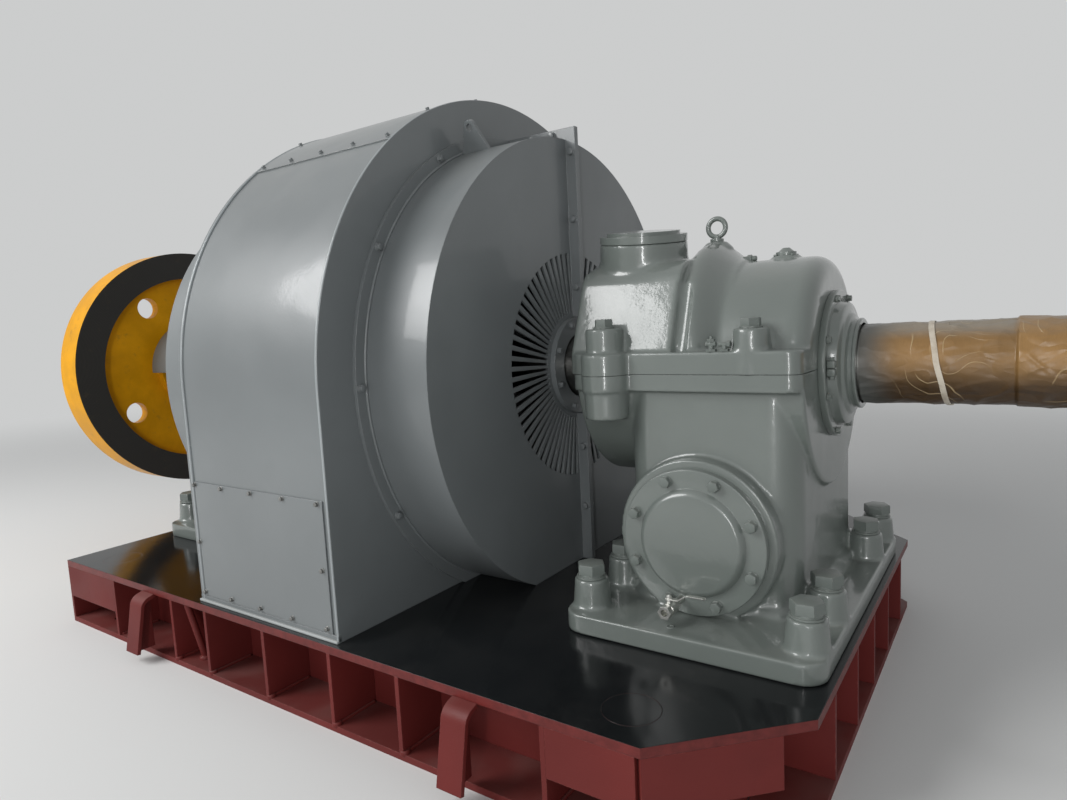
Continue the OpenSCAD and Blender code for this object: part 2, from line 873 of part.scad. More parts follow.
module rear_pedestal() {
    color("lightslategray")
    difference() {
        union() {
            foot_plate(rear_x, rear_foot_len);
            translate([rear_x, 0, base_h]) linear_extrude(shaft_z - rear_split_t - base_h)
                rounded_rect(rear_body_len, rear_body_w, rear_body_corner_r);
            translate([rear_x, 0, base_h]) linear_extrude(foot_plate_t + plinth_h)
                rounded_rect(rear_body_len + 2 * plinth_out, rear_body_w + 2 * plinth_out,
                    rear_body_corner_r + plinth_out);
            keep_below(shaft_z)
                on_axis(rear_x - rear_shell_len / 2, rear_x + rear_shell_len / 2, rear_shell_r);
            rear_split_flange(shaft_z - rear_split_t);
            at_hold_down_bolts(rear_x, rear_hold_x)
                translate([0, 0, foot_z - 1]) cylinder(h = boss_h + 1, r1 = 60, r2 = 52);
        }
        on_axis(rear_x - rear_shell_len, rear_x + rear_shell_len, bush_r);
    }
}

module rear_bearing_cap() {
    color("lightslategray")
    difference() {
        union() {
            keep_above(shaft_z)
                on_axis(rear_x - rear_shell_len / 2 + 20, rear_x + rear_shell_len / 2 - 20, rear_shell_r);
            rear_split_flange(shaft_z);
            at_rear_cap_bolts() translate([0, 0, shaft_z])
                cylinder(h = rear_cap_boss_h, r = rear_cap_boss_r);
            translate([rear_x, 0, shaft_z + rear_shell_r - 20]) cylinder(h = 50, r = 90);
        }
        on_axis(rear_x - rear_shell_len, rear_x + rear_shell_len, bush_r);
    }
}

module rear_bearing_bush() {
    color("goldenrod")
    ring_on_axis(rear_x - bush_len / 2, rear_x + bush_len / 2, bush_r, journal_r + journal_gap);
}

module rear_end_covers() {
    color("lightslategray") {
        translate([rear_x + rear_shell_len / 2, 0, shaft_z]) end_cover(1, rear_cover_len);
        translate([rear_x - rear_shell_len / 2, 0, shaft_z]) end_cover(-1, rear_cover_len);
    }
}

module rear_hold_down_bolts() {
    color("lightslategray") at_hold_down_bolts(rear_x, rear_hold_x)
        translate([0, 0, foot_z + boss_h]) hexagon_bolt(bolt_af, 38, 50, 8);
    color("lightslategray") at_rear_cap_bolts()
        translate([0, 0, shaft_z + rear_cap_boss_h]) hexagon_bolt(cap_bolt_af, 26, 36, 5);
}

module shaft_guard() {
    x0 = wheel_x + 20;
    x1 = rear_x - rear_shell_len / 2 - rear_cover_len;
    color("gray")
    keep_above(shaft_z - 10)
    difference() {
        on_axis(x0, x1, guard_r);
        on_axis(x0 - 1, x1 - guard_t, guard_r - guard_t);
        on_axis(x0 - 1, x1 + 1, shaft_r + seal_gap);
    }
}

// Rotor

module shaft() {
    color("silver") {
        on_axis(shaft_x0, rear_x - bush_len / 2, shaft_r);
        on_axis(rear_x - bush_len / 2 - 1, rear_x + bush_len / 2 + 1, journal_r);
        on_axis(rear_x + bush_len / 2, shell_mid_x - bush_len / 2, shaft_r);
        on_axis(shell_mid_x - bush_len / 2 - 1, shell_mid_x + bush_len / 2 + 1, journal_r);
        on_axis(shell_mid_x + bush_len / 2, shaft_end_x, shaft_r);
        on_axis(shaft_end_x - 1, shaft_end_x + seat_len, seat_r);
    }
}

module flywheel() {
    x0 = wheel_x - wheel_w;
    color("gold")
    difference() {
        on_axis(x0, wheel_x, wheel_r);
        on_axis(x0 - 1, wheel_x + 1, shaft_r);
        ring_on_axis(wheel_x - web_recess, wheel_x + 1, wheel_band_r, hub_r);
        ring_on_axis(x0 - 1, wheel_x - web_recess - web_thick, wheel_band_r, hub_r);
        translate([x0 - 1, 0, shaft_z]) for (k = [0 : 3])
            rotate([90 * k + 33, 0, 0]) translate([0, 0, wheel_hole_pcr])
                rotate([0, 90, 0]) cylinder(h = wheel_w + 2, r = wheel_hole_r);
    }
}

module rotor_core() {
    color("dimgray")
    ring_on_axis(core_x - core_len / 2, core_x + core_len / 2, bore_r - air_gap, shaft_r);
}

module shaft_wrap() {
    color("peru")
    ring_on_axis(wrap_x0, shaft_end_x - 5, shaft_r + wrap_t, shaft_r);
}

module wrap_strap() {
    color("ivory")
    ring_on_axis(strap_x, strap_x + strap_w, shaft_r + wrap_t + 2, shaft_r + wrap_t);
}

base_top_plate();
base_foot_flanges();
base_foot_ties();
base_side_webs();
base_cross_webs();
base_ribs();
base_anchor_brackets();
base_closing_panels();
base_hatch_covers();
stator_wrapper();
stator_front_wall();
stator_rear_wall();
stator_core();
roof_cover();
access_panels();
stator_frame_plates();
stator_sills();
front_shroud_near();
front_shroud_far();
rear_shroud_near();
rear_shroud_far();
shaft_seals();
front_pedestal();
front_bearing_cap();
front_bearing_bush();
inspection_lid();
front_side_covers();
front_outer_end_cover();
front_inner_end_cover();
front_eye_bolt();
vent_cap();
front_hold_down_bolts();
drain_valve();
drain_lever();
rear_pedestal();
rear_bearing_cap();
rear_bearing_bush();
rear_end_covers();
rear_hold_down_bolts();
shaft_guard();
shaft();
flywheel();
rotor_core();
shaft_wrap();
wrap_strap();
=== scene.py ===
"""Dresses a packed hydroelectric generator: paint, castings, fasteners, fittings, wrapping and a stage."""

import json
import math
import random

import bpy
from bpy.props import FloatProperty, FloatVectorProperty, IntProperty, PointerProperty
from mathutils import Matrix, Vector, noise

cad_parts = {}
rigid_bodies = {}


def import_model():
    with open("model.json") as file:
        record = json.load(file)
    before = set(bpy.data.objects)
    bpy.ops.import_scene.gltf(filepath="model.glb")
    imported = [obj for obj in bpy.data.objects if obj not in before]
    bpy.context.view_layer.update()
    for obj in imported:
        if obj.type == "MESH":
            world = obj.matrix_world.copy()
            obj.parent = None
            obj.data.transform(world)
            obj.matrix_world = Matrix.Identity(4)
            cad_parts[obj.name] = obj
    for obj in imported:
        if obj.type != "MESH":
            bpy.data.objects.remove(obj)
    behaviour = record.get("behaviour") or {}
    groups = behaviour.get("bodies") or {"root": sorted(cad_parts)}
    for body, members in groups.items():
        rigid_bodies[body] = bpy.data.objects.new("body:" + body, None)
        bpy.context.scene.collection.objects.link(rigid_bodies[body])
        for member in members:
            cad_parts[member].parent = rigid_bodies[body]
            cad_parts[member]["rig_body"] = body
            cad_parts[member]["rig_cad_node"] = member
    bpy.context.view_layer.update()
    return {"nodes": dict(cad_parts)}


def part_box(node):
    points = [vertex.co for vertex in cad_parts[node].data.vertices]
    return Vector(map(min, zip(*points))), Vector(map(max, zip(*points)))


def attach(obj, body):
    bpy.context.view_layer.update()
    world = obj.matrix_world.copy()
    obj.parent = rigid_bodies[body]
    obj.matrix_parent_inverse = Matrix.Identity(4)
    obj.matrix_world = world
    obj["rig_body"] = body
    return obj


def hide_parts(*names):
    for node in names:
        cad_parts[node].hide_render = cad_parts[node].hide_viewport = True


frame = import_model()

bl_info = {
    "name": "Hydroelectric generator dressing",
    "version": (1, 0, 0),
    "blender": (4, 5, 0),
    "location": "3D View > Sidebar > Generator",
    "description": "Paint, castings, fasteners and fittings for a horizontal generator on its base frame",
    "category": "Object",
}

SEED = 11
AXIS = Vector((1, 0, 0))
UP = Vector((0, 0, 1))
NEAR = Vector((0, -1, 0))


def centre(source):
    """The middle of a solid's box, to a tenth of a millimetre."""
    low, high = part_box(source)
    return [round(c, 4) for c in (low + high) / 2]


# Places along, across and over the machine, in metres

SHAFT_Z = centre("flywheel")[2]
BASE_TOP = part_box("base_top_plate")[1].z
RIB_X = (-1.236, -0.760, -0.516, -0.149, 0.208, 0.522, 1.054)
RIB_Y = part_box("base_ribs")[1].y
RIB_LOW, RIB_HIGH = (round(corner.z, 4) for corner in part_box("base_ribs"))
RIB_HALF = 0.008
HOUSING_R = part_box("stator_front_wall")[1].y
FRONT_FACE_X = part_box("stator_front_wall")[1].x
REAR_FACE_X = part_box("stator_rear_wall")[0].x
SEAL_DEPTH = 0.022
FRONT_SHROUD_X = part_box("shaft_seals")[1].x - SEAL_DEPTH
REAR_SHROUD_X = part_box("shaft_seals")[0].x + SEAL_DEPTH
FRONT_X = centre("front_hold_down_bolts")[0]
FRONT_BOLT_X = 0.349
REAR_X = centre("rear_hold_down_bolts")[0]
REAR_BOLT_X = 0.215
BOLT_Y = (0.320, 0.560)
FOOT_TOP = round(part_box("front_hold_down_bolts")[0].z, 4)
COVER_X, COVER_Z = centre("front_side_covers")[::2]
COVER_SEAT_Y = 0.470
COVER_THICKNESS = 0.028
COVER_MIDDLE_R = 0.178
COVER_RISE = 0.018
COVER_TAPER = 0.935
COVER_BOLT_R = 0.2075
PORT_X, PORT_Y = 0.928, -0.158
PAPER_R = 0.1262
LAP_X = 2.055
TIE_X = 1.858
TAPE_LEAN = 0.19
KNOT_SPOT = Vector((1.882, 0.02, SHAFT_Z - 0.1280))


# Settings


class PaintSettings(bpy.types.PropertyGroup):
    grey: FloatVectorProperty(
        name="Grey enamel", description="Paint of the stator housing and the shrouds",
        subtype="COLOR", default=(0.150, 0.164, 0.168), min=0, max=1)
    green_grey: FloatVectorProperty(
        name="Green-grey enamel", description="Thick paint of the bearing castings",
        subtype="COLOR", default=(0.138, 0.158, 0.146), min=0, max=1)
    red_oxide: FloatVectorProperty(
        name="Red oxide", description="Primer of the base frame",
        subtype="COLOR", default=(0.125, 0.018, 0.016), min=0, max=1)
    black: FloatVectorProperty(
        name="Black gloss", description="Paint of the base's top plate",
        subtype="COLOR", default=(0.0065, 0.0075, 0.0085), min=0, max=1)
    amber: FloatVectorProperty(
        name="Amber", description="Paint of the flywheel's rim and web",
        subtype="COLOR", default=(0.72, 0.33, 0.006), min=0, max=1)
    band: FloatVectorProperty(
        name="Flywheel band", description="Dark machined band on the side of the rim",
        subtype="COLOR", default=(0.045, 0.043, 0.040), min=0, max=1)
    paper: FloatVectorProperty(
        name="Waxed paper", description="Brown wrapping on the shaft extension",
        subtype="COLOR", default=(0.205, 0.114, 0.038), min=0, max=1)
    orange_peel: FloatProperty(
        name="Orange peel", description="Depth of the fine ripple in the sprayed paint",
        subtype="DISTANCE", unit="LENGTH", default=0.00025, min=0, max=0.002)


class FastenerSettings(bpy.types.PropertyGroup):
    cover_screw: FloatProperty(
        name="Cover screw", description="Width across flats of the roof and panel screws",
        subtype="DISTANCE", unit="LENGTH", default=0.0135, min=0.008, max=0.04)
    seam_bolt: FloatProperty(
        name="Seam bolt", description="Width across flats of the bolts in the shroud flanges",
        subtype="DISTANCE", unit="LENGTH", default=0.024, min=0.010, max=0.04)
    side_cover_bolt: FloatProperty(
        name="Side cover bolt", description="Width across flats of the bolts around the side covers",
        subtype="DISTANCE", unit="LENGTH", default=0.032, min=0.010, max=0.05)
    hold_down_bolt: FloatProperty(
        name="Hold-down bolt", description="Width across flats of the bolts in the pedestal feet",
        subtype="DISTANCE", unit="LENGTH", default=0.085, min=0.050, max=0.100)


class WrapSettings(bpy.types.PropertyGroup):
    crease: FloatProperty(
        name="Crease depth", description="How deep the paper is creased",
        subtype="DISTANCE", unit="LENGTH", default=0.006, min=0, max=0.01)
    segments: IntProperty(
        name="Ring segments", description="Faces around the wrapped shaft", default=180, min=48, max=360)


class CastingSettings(bpy.types.PropertyGroup):
    grain: FloatProperty(
        name="Casting mesh", description="Size of the faces that round off a casting's corners",
        subtype="DISTANCE", unit="LENGTH", default=0.0065, min=0.004, max=0.02)
    rounding: IntProperty(
        name="Rounding", description="How often the corners are smoothed", default=5, min=0, max=60)


class StageSettings(bpy.types.PropertyGroup):
    floor: FloatVectorProperty(
        name="Floor", description="Colour of the studio floor",
        subtype="COLOR", default=(0.74, 0.74, 0.73), min=0, max=1)
    key_power: FloatProperty(
        name="Key lamp", description="Power of the large soft lamp", subtype="POWER", unit="POWER",
        default=560, min=0, max=5000)
    fill_power: FloatProperty(
        name="Fill lamp", description="Power of the lamps on the turbine side", subtype="POWER",
        unit="POWER", default=60, min=0, max=5000)
    surround: FloatProperty(
        name="Surround", description="Even light from all around", default=0.34, min=0, max=2)
    backdrop: FloatProperty(
        name="Backdrop", description="Brightness of the background as it is seen", default=0.70, min=0, max=1)


# Hand tools


def object_mode():
    bpy.ops.object.mode_set(mode="OBJECT")


def deselect_all():
    if bpy.context.object and bpy.context.object.mode != "OBJECT":
        object_mode()
    bpy.ops.object.select_all(action="DESELECT")


def pick(*objects):
    """Selects these objects and nothing else, and makes the first one active."""
    deselect_all()
    for obj in objects:
        obj.select_set(True)
    bpy.context.view_layer.objects.active = objects[0]


def edit_all(kind=None):
    """Goes into edit mode with everything selected, as vertices, edges or faces where a kind is named."""
    bpy.ops.object.mode_set(mode="EDIT")
    if kind:
        bpy.ops.mesh.select_mode(type=kind)
    bpy.ops.mesh.select_all(action="SELECT")


def start_choice(kind):
    """Leaves nothing selected, ready for faces or edges that are chosen in code."""
    bpy.ops.object.mode_set(mode="EDIT")
    bpy.ops.mesh.select_mode(type=kind)
    bpy.ops.mesh.select_all(action="DESELECT")
    object_mode()


def select_faces(obj, test):
    """Leaves obj in edit mode with the faces selected whose middle and normal pass the test."""
    start_choice("FACE")
    for face in obj.data.polygons:
        face.select = test(face.center, face.normal)
    bpy.ops.object.mode_set(mode="EDIT")


def select_edges(obj, test):
    """Leaves obj in edit mode with the edges selected whose two ends pass the test."""
    start_choice("EDGE")
    points = obj.data.vertices
    for edge in obj.data.edges:
        a, b = (points[i].co for i in edge.vertices)
        edge.select = test(a, b)
    bpy.ops.object.mode_set(mode="EDIT")


def extrude(move):
    bpy.ops.mesh.extrude_region_move(TRANSFORM_OT_translate={"value": move})


def apply_place():
    bpy.ops.object.transform_apply(location=True, rotation=True, scale=True)


def apply_modifier(obj, kind, **settings):
    pick(obj)
    modifier = obj.modifiers.new(kind.title(), kind)
    for key, value in settings.items():
        setattr(modifier, key, value)
    bpy.ops.object.modifier_apply(modifier=modifier.name)


def outward(obj):
    """Merges doubled points and turns every face outwards."""
    pick(obj)
    edit_all()
    bpy.ops.mesh.remove_doubles(threshold=1e-5)
    bpy.ops.mesh.normals_make_consistent(inside=False)
    object_mode()


def cylinder(point, radius, depth, axis, vertices, bevel=0.0):
    """A round bar from point along axis, with its far rim bevelled."""
    deselect_all()
    bpy.ops.mesh.primitive_cylinder_add(
        vertices=vertices, radius=radius, depth=depth,
        location=point + axis * depth / 2, rotation=axis.to_track_quat("Z", "Y").to_euler())
    obj = bpy.context.object
    apply_place()
    if bevel:
        select_faces(obj, lambda c, n: n.dot(axis) > 0.9)
        bpy.ops.mesh.bevel(offset=bevel, segments=3, affect="EDGES")
        object_mode()
    return obj


def block(low, high, bevel=0.0):
    """A bar between two opposite corners, given in any order."""
    deselect_all()
    low, high = (Vector([end(pair) for pair in zip(low, high)]) for end in (min, max))
    bpy.ops.mesh.primitive_cube_add(size=1, location=(low + high) / 2)
    obj = bpy.context.object
    obj.scale = high - low
    apply_place()
    if bevel:
        edit_all()
        bpy.ops.mesh.bevel(offset=bevel, segments=2, affect="EDGES")
        object_mode()
    return obj


def turned(profile, vertices, closed=False):
    """A part turned about the shaft: a ring at the first (x, radius) is extruded through the others."""
    deselect_all()
    x, r = profile[0]
    bpy.ops.mesh.primitive_circle_add(
        vertices=vertices, radius=r, fill_type="NOTHING", location=(x, 0, SHAFT_Z),
        rotation=(0, math.pi / 2, 0))
    obj = bpy.context.object
    apply_place()
    edit_all("VERT")
    steps = list(profile[1:]) + ([profile[0]] if closed else [])
    for next_x, next_r in steps:
        extrude((next_x - x, 0, 0))
        bpy.ops.transform.resize(value=(1, next_r / r, next_r / r), center_override=(next_x, 0, SHAFT_Z))
        x, r = next_x, next_r
    object_mode()
    outward(obj)
    return obj


def ribbon(points, width, thickness):
    """A bent strap: its middle line runs through the (y, z) points, its width lies along X."""
    deselect_all()
    (y0, z0), (y1, z1) = points[:2]
    bpy.ops.mesh.primitive_plane_add(
        size=1, location=(0, (y0 + y1) / 2, (z0 + z1) / 2), rotation=(math.atan2(z1 - z0, y1 - y0), 0, 0))
    obj = bpy.context.object
    obj.scale = (width, math.hypot(y1 - y0, z1 - z0), 1)
    apply_place()
    for (ya, za), (yb, zb) in zip(points[1:], points[2:]):
        end = Vector((ya, za))
        select_edges(obj, lambda a, b: (a.yz - end).length < 1e-4 and (b.yz - end).length < 1e-4)
        extrude((0, yb - ya, zb - za))
        object_mode()
    apply_modifier(obj, "SOLIDIFY", thickness=thickness, offset=0.0, use_even_offset=True)
    outward(obj)
    return obj


def join(objects):
    pick(*objects)
    if len(objects) > 1:
        bpy.ops.object.join()
    apply_place()
    return bpy.context.object


def hexagon_bolt(across, head, washer_r=0.0, washer_t=0.0, stud=0.0):
    """A bolt's head on its washer, standing on the origin along Z. A stud end shows past a nut."""
    deselect_all()
    bpy.ops.mesh.primitive_cylinder_add(
        vertices=6, radius=across / 2 / math.cos(math.pi / 6), depth=head,
        location=(0, 0, washer_t + head / 2))
    parts = [bpy.context.object]
    apply_place()
    select_faces(parts[0], lambda c, n: n.z > 0.9)
    bpy.ops.mesh.bevel(offset=across * 0.075, segments=2, affect="EDGES")
    object_mode()
    if washer_t:
        parts.append(cylinder(Vector(), washer_r, washer_t, UP, 24, washer_t * 0.35))
    if stud:
        end = Vector((0, 0, washer_t + head - 0.001))
        parts.append(cylinder(end, across * 0.3, stud, UP, 16, across * 0.06))
    return join(parts)


def set_out(master, places):
    """Copies a modelled piece to each (point, axis, spin in degrees) and joins the copies."""
    copies = []
    for point, axis, spin in places:
        copy = master.copy()
        copy.data = master.data.copy()
        bpy.context.collection.objects.link(copy)
        copy.matrix_world = (
            Matrix.Translation(point) @ axis.to_track_quat("Z", "Y").to_matrix().to_4x4()
            @ Matrix.Rotation(math.radians(spin), 4, "Z"))
        copies.append(copy)
    bpy.data.objects.remove(master)
    return join(copies)


def around(radius, degrees, x):
    """The point on a circle about the shaft, at an angle from the top to the near side, and the way out."""
    a = math.radians(degrees)
    out = Vector((0, -math.sin(a), math.cos(a)))
    return Vector((x, 0, SHAFT_Z)) + out * radius, out


def eight_around(radius, x, axis, spin):
    """Eight places on a circle about the shaft, each bolt turned a little further than the last."""
    return [(around(radius, 22.5 + 45 * k, x)[0], axis, spin * k) for k in range(8)]


def finish_piece(obj, name, finish, sharp=32, replaces=(), body="machine"):
    """Names a piece, paints it, says what it rides on and hides the solids it stands for."""
    obj.name = name
    obj.data.name = name
    obj.data.materials.clear()
    obj.data.materials.append(FINISH[finish])
    pick(obj)
    bpy.ops.object.shade_smooth_by_angle(angle=math.radians(sharp))
    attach(obj, body)
    if replaces:
        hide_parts(*replaces)


def bolts(name, finish, size, places):
    """Sets out a hexagon bolt of the size that is given and finishes the set as one piece."""
    finish_piece(set_out(hexagon_bolt(*size), places), name, finish)


# Paints


FINISH = {}


def rgba(colour, factor=1.0):
    return tuple(min(1.0, c * factor) for c in colour) + (1.0,)


class Shader:
    """Adds nodes to an empty node tree. An input is a value, or the output of another node."""

    def __init__(self, tree):
        self.tree = tree
        tree.nodes.clear()

    def feed(self, made, key, value):
        if isinstance(value, bpy.types.NodeSocket):
            self.tree.links.new(value, made.inputs[key])
        else:
            made.inputs[key].default_value = value

    def node(self, kind, inputs, **settings):
        made = self.tree.nodes.new("ShaderNode" + kind)
        for key, value in settings.items():
            setattr(made, key, value)
        for key, value in inputs.items():
            self.feed(made, key, value)
        return made

    def math(self, operation, *values):
        return self.node("Math", dict(enumerate(values)), operation=operation).outputs[0]

    def times(self, a, b):
        return self.math("MULTIPLY", a, b)

    def blend(self, factor, a, b):
        return self.node("Mix", {0: factor, 6: a, 7: b}, data_type="RGBA").outputs[2]

    def ramp(self, value, low, high, to_low=0.0, to_high=1.0):
        """Eases from to_low to to_high while the value goes from low to high."""
        inputs = {"Value": value, "From Min": low, "From Max": high, "To Min": to_low, "To Max": to_high}
        return self.node("MapRange", inputs, interpolation_type="SMOOTHSTEP").outputs[0]

    def noise(self, at, scale, detail=4.0, rough=0.55):
        inputs = {"Vector": at, "Scale": scale, "Detail": detail, "Roughness": rough}
        return self.node("TexNoise", inputs).outputs["Fac"]

    def stretched(self, at, scale, turn=(0, 0, 0)):
        return self.node("Mapping", {"Vector": at, "Scale": scale, "Rotation": turn}).outputs[0]

    def bump(self, height, distance, strength, under=None):
        """A normal that follows the height, on top of the normal under it."""
        inputs = {"Height": height, "Distance": distance, "Strength": strength}
        if under:
            inputs["Normal"] = under
        return self.node("Bump", inputs).outputs[0]

    def seen(self):
        """1 where the camera looks, also through a mirror or glass, and 0 for other light."""
        rays = self.node("LightPath", {}).outputs
        direct = self.math("MAXIMUM", rays["Is Camera Ray"], rays["Is Glossy Ray"])
        return self.math("MAXIMUM", direct, rays["Is Transmission Ray"])

    def either(self, factor, a, b):
        return self.node("MixShader", {0: factor, 1: a.outputs[0], 2: b.outputs[0]}).outputs[0]


class Finish(Shader):
    """A material in the making, with its surface shader."""

    def __init__(self, name):
        self.material = bpy.data.materials.new(name)
        self.material.use_nodes = True
        super().__init__(self.material.node_tree)
        self.surface = self.node("BsdfPrincipled", {})
        self.out = self.node("OutputMaterial", {"Surface": self.surface.outputs[0]})
        self.place = self.node("TexCoord", {}).outputs
        self.at = self.place["Object"]

    def part(self, vector, axis):
        return self.node("SeparateXYZ", {0: vector}).outputs[axis]

    def facing(self, axis):
        return self.part(self.place["Normal"], axis)

    def soft_corners(self, radius):
        """The normal of the surface, with the corners of the part rounded off."""
        return self.node("Bevel", {"Radius": radius}, samples=4).outputs[0]

    def worn_corners(self, soft):
        """1 on the corners of a part and 0 on its faces."""
        true = self.node("NewGeometry", {}).outputs["Normal"]
        same = self.node("VectorMath", {0: soft, 1: true}, operation="DOT_PRODUCT").outputs["Value"]
        return self.ramp(same, 0.995, 0.86)

    def done(self, **inputs):
        """Feeds the surface, with _ for each space in the name of an input, and hands over the material."""
        for key, value in inputs.items():
            self.feed(self.surface, key.replace("_", " "), value)
        return self.material


def paint(name, colour, peel, roughness=0.31, mottling=0.06, waves=0.0006, dust=0.10, wear=0.0,
          wear_colour=(0.34, 0.35, 0.35), edge=0.003, brush=0.0, coat=0.0, shine=0.5):
    """Sprayed or brushed paint: mottled, wavy, dusty where it looks up and chipped along its corners."""
    m = Finish(name)
    patch = m.noise(m.at, 7.0, 2.0, 0.4)
    broad = m.ramp(m.noise(m.at, 1.7, 3.0, 0.5), 0.3, 0.7)
    mixed = m.blend(broad, rgba(colour, 1 - mottling), rgba(colour, 1 + mottling))
    mixed = m.blend(m.ramp(patch, 0.55, 0.8, 0, 0.35), mixed, rgba(colour, 1 - 1.8 * mottling))
    lying = m.times(m.ramp(m.facing("Z"), 0.45, 0.95), m.ramp(patch, 0.35, 0.7, 0.3, 1.0))
    dusty = m.times(lying, dust)
    mixed = m.blend(dusty, mixed, (0.42, 0.40, 0.36, 1))
    soft = m.soft_corners(edge)
    if wear:
        chips = m.ramp(m.noise(m.at, 60.0, 5.0, 0.7), 0.5, 0.62)
        mixed = m.blend(m.times(m.times(m.worn_corners(soft), chips), wear), mixed, rgba(wear_colour))
    smudge = m.ramp(m.noise(m.at, 4.3, 2.0, 0.4), 0.3, 0.75, roughness * 0.92, roughness * 1.3)
    normal = m.bump(m.noise(m.at, 110.0, 2.0), peel, 0.6, soft)
    normal = m.bump(m.noise(m.at, 6.5, 3.0), waves, 0.7, normal)
    if brush:
        normal = m.bump(m.noise(m.stretched(m.at, (3.0, 3.0, 60.0)), 4.0, 3.0), brush, 0.5, normal)
    return m.done(
        Base_Color=mixed, Roughness=m.math("ADD", smudge, m.times(dusty, 0.35)), Normal=normal,
        Coat_Normal=normal, Coat_Weight=coat, Coat_Roughness=0.07, Specular_IOR_Level=shine)


def plate_material(name, colour, edge_colour):
    """Black gloss on rolled plate, with smudges and dust, and primer on its upright edges."""
    m = Finish(name)
    patch = m.noise(m.at, 2.2, 4.0, 0.5)
    fine = m.noise(m.at, 34.0, 5.0, 0.7)
    dust = m.times(m.ramp(patch, 0.45, 0.8, 0.0, 0.07), m.ramp(fine, 0.3, 0.7, 0.35, 1.0))
    streaks = m.noise(m.stretched(m.at, (1.2, 26.0, 1.0), (0, 0, 0.7)), 7.0, 2.0)
    scratch = m.ramp(streaks, 0.72, 0.78, 0.0, 0.2)
    mixed = m.blend(dust, rgba(colour), (0.30, 0.29, 0.27, 1))
    mixed = m.blend(scratch, mixed, (0.12, 0.12, 0.12, 1))
    side = m.ramp(m.math("ABSOLUTE", m.facing("Z")), 0.6, 0.4)
    primer = m.blend(m.ramp(fine, 0.3, 0.7), rgba(edge_colour, 0.75), rgba(edge_colour, 1.15))
    mixed = m.blend(side, mixed, primer)
    rough = m.math("ADD", m.ramp(patch, 0.3, 0.8, 0.12, 0.21), m.times(scratch, 0.15))
    rough = m.math("ADD", rough, m.times(side, 0.25))
    normal = m.bump(m.noise(m.at, 3.0, 3.0), 0.002, 0.35, m.soft_corners(0.004))
    normal = m.bump(fine, 0.0003, 0.4, normal)
    return m.done(Base_Color=mixed, Roughness=rough, Normal=normal, Specular_IOR_Level=0.30)


def flywheel_material(name, amber, band):
    """Amber paint with a dark band on the sides of the rim, told apart by the distance from the shaft."""
    m = Finish(name)
    up = m.math("SUBTRACT", m.part(m.at, "Z"), SHAFT_Z)
    squares = [m.math("POWER", length, 2.0) for length in (m.part(m.at, "Y"), up)]
    radius = m.math("SQRT", m.math("ADD", *squares))
    side = m.ramp(m.math("ABSOLUTE", m.facing("X")), 0.8, 0.9)
    on_rim = m.times(side, m.ramp(radius, 0.5605, 0.5625))
    patch = m.noise(m.at, 5.0, 5.0, 0.6)
    yellow = m.blend(m.ramp(patch, 0.3, 0.75), rgba(amber, 0.82), rgba(amber, 1.05))
    along = m.node("CombineXYZ", {"X": radius}).outputs[0]
    tool_marks = m.node("TexWave", {"Vector": along, "Scale": 46.0, "Distortion": 1.0, "Detail": 2.0})
    marked = m.ramp(tool_marks.outputs["Fac"], 0.2, 0.9, 0.0, 0.5)
    mixed = m.blend(on_rim, yellow, m.blend(marked, rgba(band, 0.85), rgba(band, 1.5)))
    stain = m.times(m.ramp(m.noise(m.at, 13.0, 6.0, 0.7), 0.56, 0.75), 0.35)
    mixed = m.blend(stain, mixed, (0.10, 0.075, 0.045, 1))
    normal = m.bump(m.noise(m.at, 120.0, 3.0), 0.0004, 0.6, m.soft_corners(0.003))
    rough = m.ramp(patch, 0.3, 0.8, 0.29, 0.40)
    return m.done(Base_Color=mixed, Roughness=rough, Normal=normal, Specular_IOR_Level=0.10)


def crease_lines(m, scale, stretch, width, spacing):
    """1 along thin curved lines, which follow the contours of a slow noise."""
    level = m.noise(m.stretched(m.at, stretch), scale, 1.0, 0.3)
    return m.ramp(m.math("PINGPONG", level, spacing), width, 0.0)


def paper_folds(m, along, overlap):
    """Long creases near the tie and loose ones past the overlap, both broken off here and there."""
    sparse = m.noise(m.at, 9.0, 2.0)
    near_tie = m.times(m.ramp(along, 1.72, 1.80), m.ramp(along, 2.02, 1.92))
    tight = m.times(crease_lines(m, 6.5, (1.1, 1.0, 0.7), 0.0070, 0.048), near_tie)
    loose = m.times(crease_lines(m, 7.0, (0.8, 1.0, 0.8), 0.010, 0.085), overlap)
    return m.math("MAXIMUM", m.times(tight, m.ramp(sparse, 0.38, 0.52)),
                  m.times(loose, m.ramp(sparse, 0.46, 0.60, 0.0, 0.7)))


